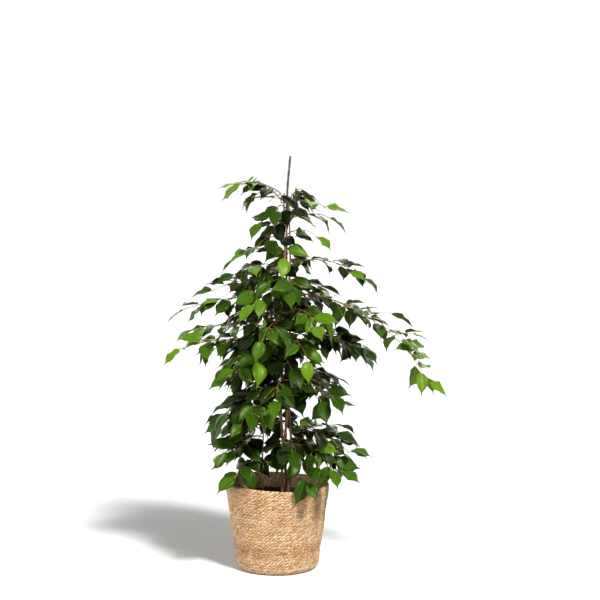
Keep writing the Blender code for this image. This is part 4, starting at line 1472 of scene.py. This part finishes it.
class FIG_OT_stage(bpy.types.Operator):
    """Set the floor, the lights and the camera"""

    bl_idname = "fig.stage"
    bl_label = "Stage"

    def execute(self, context):
        settings = context.scene.fig_stage
        self.lay_floor(settings)
        context.scene.world = self.lit_room(settings)
        self.hang_light("key", KEY_FROM, settings.key, settings.softness)
        self.hang_light("fill", FILL_FROM, settings.fill, settings.fill_softness)
        camera = placed("camera", bpy.data.cameras.new("camera"))
        camera.data.lens = settings.lens
        camera.location = CAMERA_PLACE
        camera.rotation_euler = (CAMERA_PITCH, 0, 0)
        context.scene.camera = camera
        context.scene.view_settings.view_transform = "Standard"
        return {"FINISHED"}

    def lay_floor(self, settings):
        bm = bmesh.new()
        bmesh.ops.create_circle(bm, cap_ends=True, segments=64, radius=FLOOR_RADIUS)
        floor = placed("floor", finished(bm))
        finish = Finish("pale_floor")
        finish.surface(Base_Color=settings.floor, Roughness=0.9)
        floor.data.materials.append(finish.material)

    def lit_room(self, settings):
        """A white room. It lights the plant softly, and its backdrop shines in the leaves."""
        world = bpy.data.worlds.new("room")
        world.use_nodes = True
        room = Nodes(world.node_tree)

        def ranged(value, low, high, start=0, end=1):
            """From low to high while the value goes from start to end."""
            ends = {"From Min": start, "From Max": end, "To Min": low, "To Max": high}
            return room.node("ShaderNodeMapRange", {}, {"Value": value, **ends})

        spot = room.node("ShaderNodeTexCoord", {}, {}, "Generated")
        behind = ranged(room.axes(spot).output("Y"), 0, settings.backdrop, *BACKDROP_SPREAD)
        seen = room.node("ShaderNodeLightPath", {}, {}, "Is Camera Ray")
        mirrored = seen.output("Is Glossy Ray")
        strength = ranged(mirrored, settings.world, behind)
        background = room.tree.nodes["Background"]
        room.feed(background.inputs["Strength"], ranged(seen, strength, 1))
        hue = room.mix(mirrored, (1, 1, 1), settings.backdrop_hue)
        room.feed(background.inputs["Color"], hue)
        return world

    def hang_light(self, name, side, strength, softness):
        light = placed(name, bpy.data.lights.new(name, "SUN"))
        light.data.energy = strength
        light.data.angle = softness
        light.rotation_euler = side.to_track_quat("Z", "Y").to_euler()


class FIG_PT_panel(bpy.types.Panel):
    """The weeping fig's pieces"""

    bl_idname = "FIG_PT_panel"
    bl_label = "Weeping fig"
    bl_space_type = "VIEW_3D"
    bl_region_type = "UI"
    bl_category = "Weeping fig"

    def draw(self, context):
        for operator in OPERATORS:
            self.layout.operator(operator.bl_idname)
        for name, group in SETTINGS.items():
            box = self.layout.box()
            for key in group.__annotations__:
                box.prop(getattr(context.scene, name), key)


OPERATORS = (
    FIG_OT_stage,
    FIG_OT_basket,
    FIG_OT_liner,
    FIG_OT_pot,
    FIG_OT_stems,
    FIG_OT_foliage,
)
SETTINGS = {
    "fig_basket": BasketSettings,
    "fig_pot": PotSettings,
    "fig_wood": WoodSettings,
    "fig_foliage": FoliageSettings,
    "fig_stage": StageSettings,
}


def register():
    for group in (*SETTINGS.values(), *OPERATORS, FIG_PT_panel):
        bpy.utils.register_class(group)
    for name, group in SETTINGS.items():
        setattr(bpy.types.Scene, name, PointerProperty(type=group))


def unregister():
    for name in SETTINGS:
        delattr(bpy.types.Scene, name)
    for group in (FIG_PT_panel, *OPERATORS, *SETTINGS.values()):
        bpy.utils.unregister_class(group)


def main():
    register()
    bpy.ops.fig.stage()
    bpy.ops.fig.basket()
    bpy.ops.fig.liner()
    bpy.ops.fig.pot()
    bpy.ops.fig.stems()
    bpy.ops.fig.foliage()


if __name__ == "__main__":
    main()
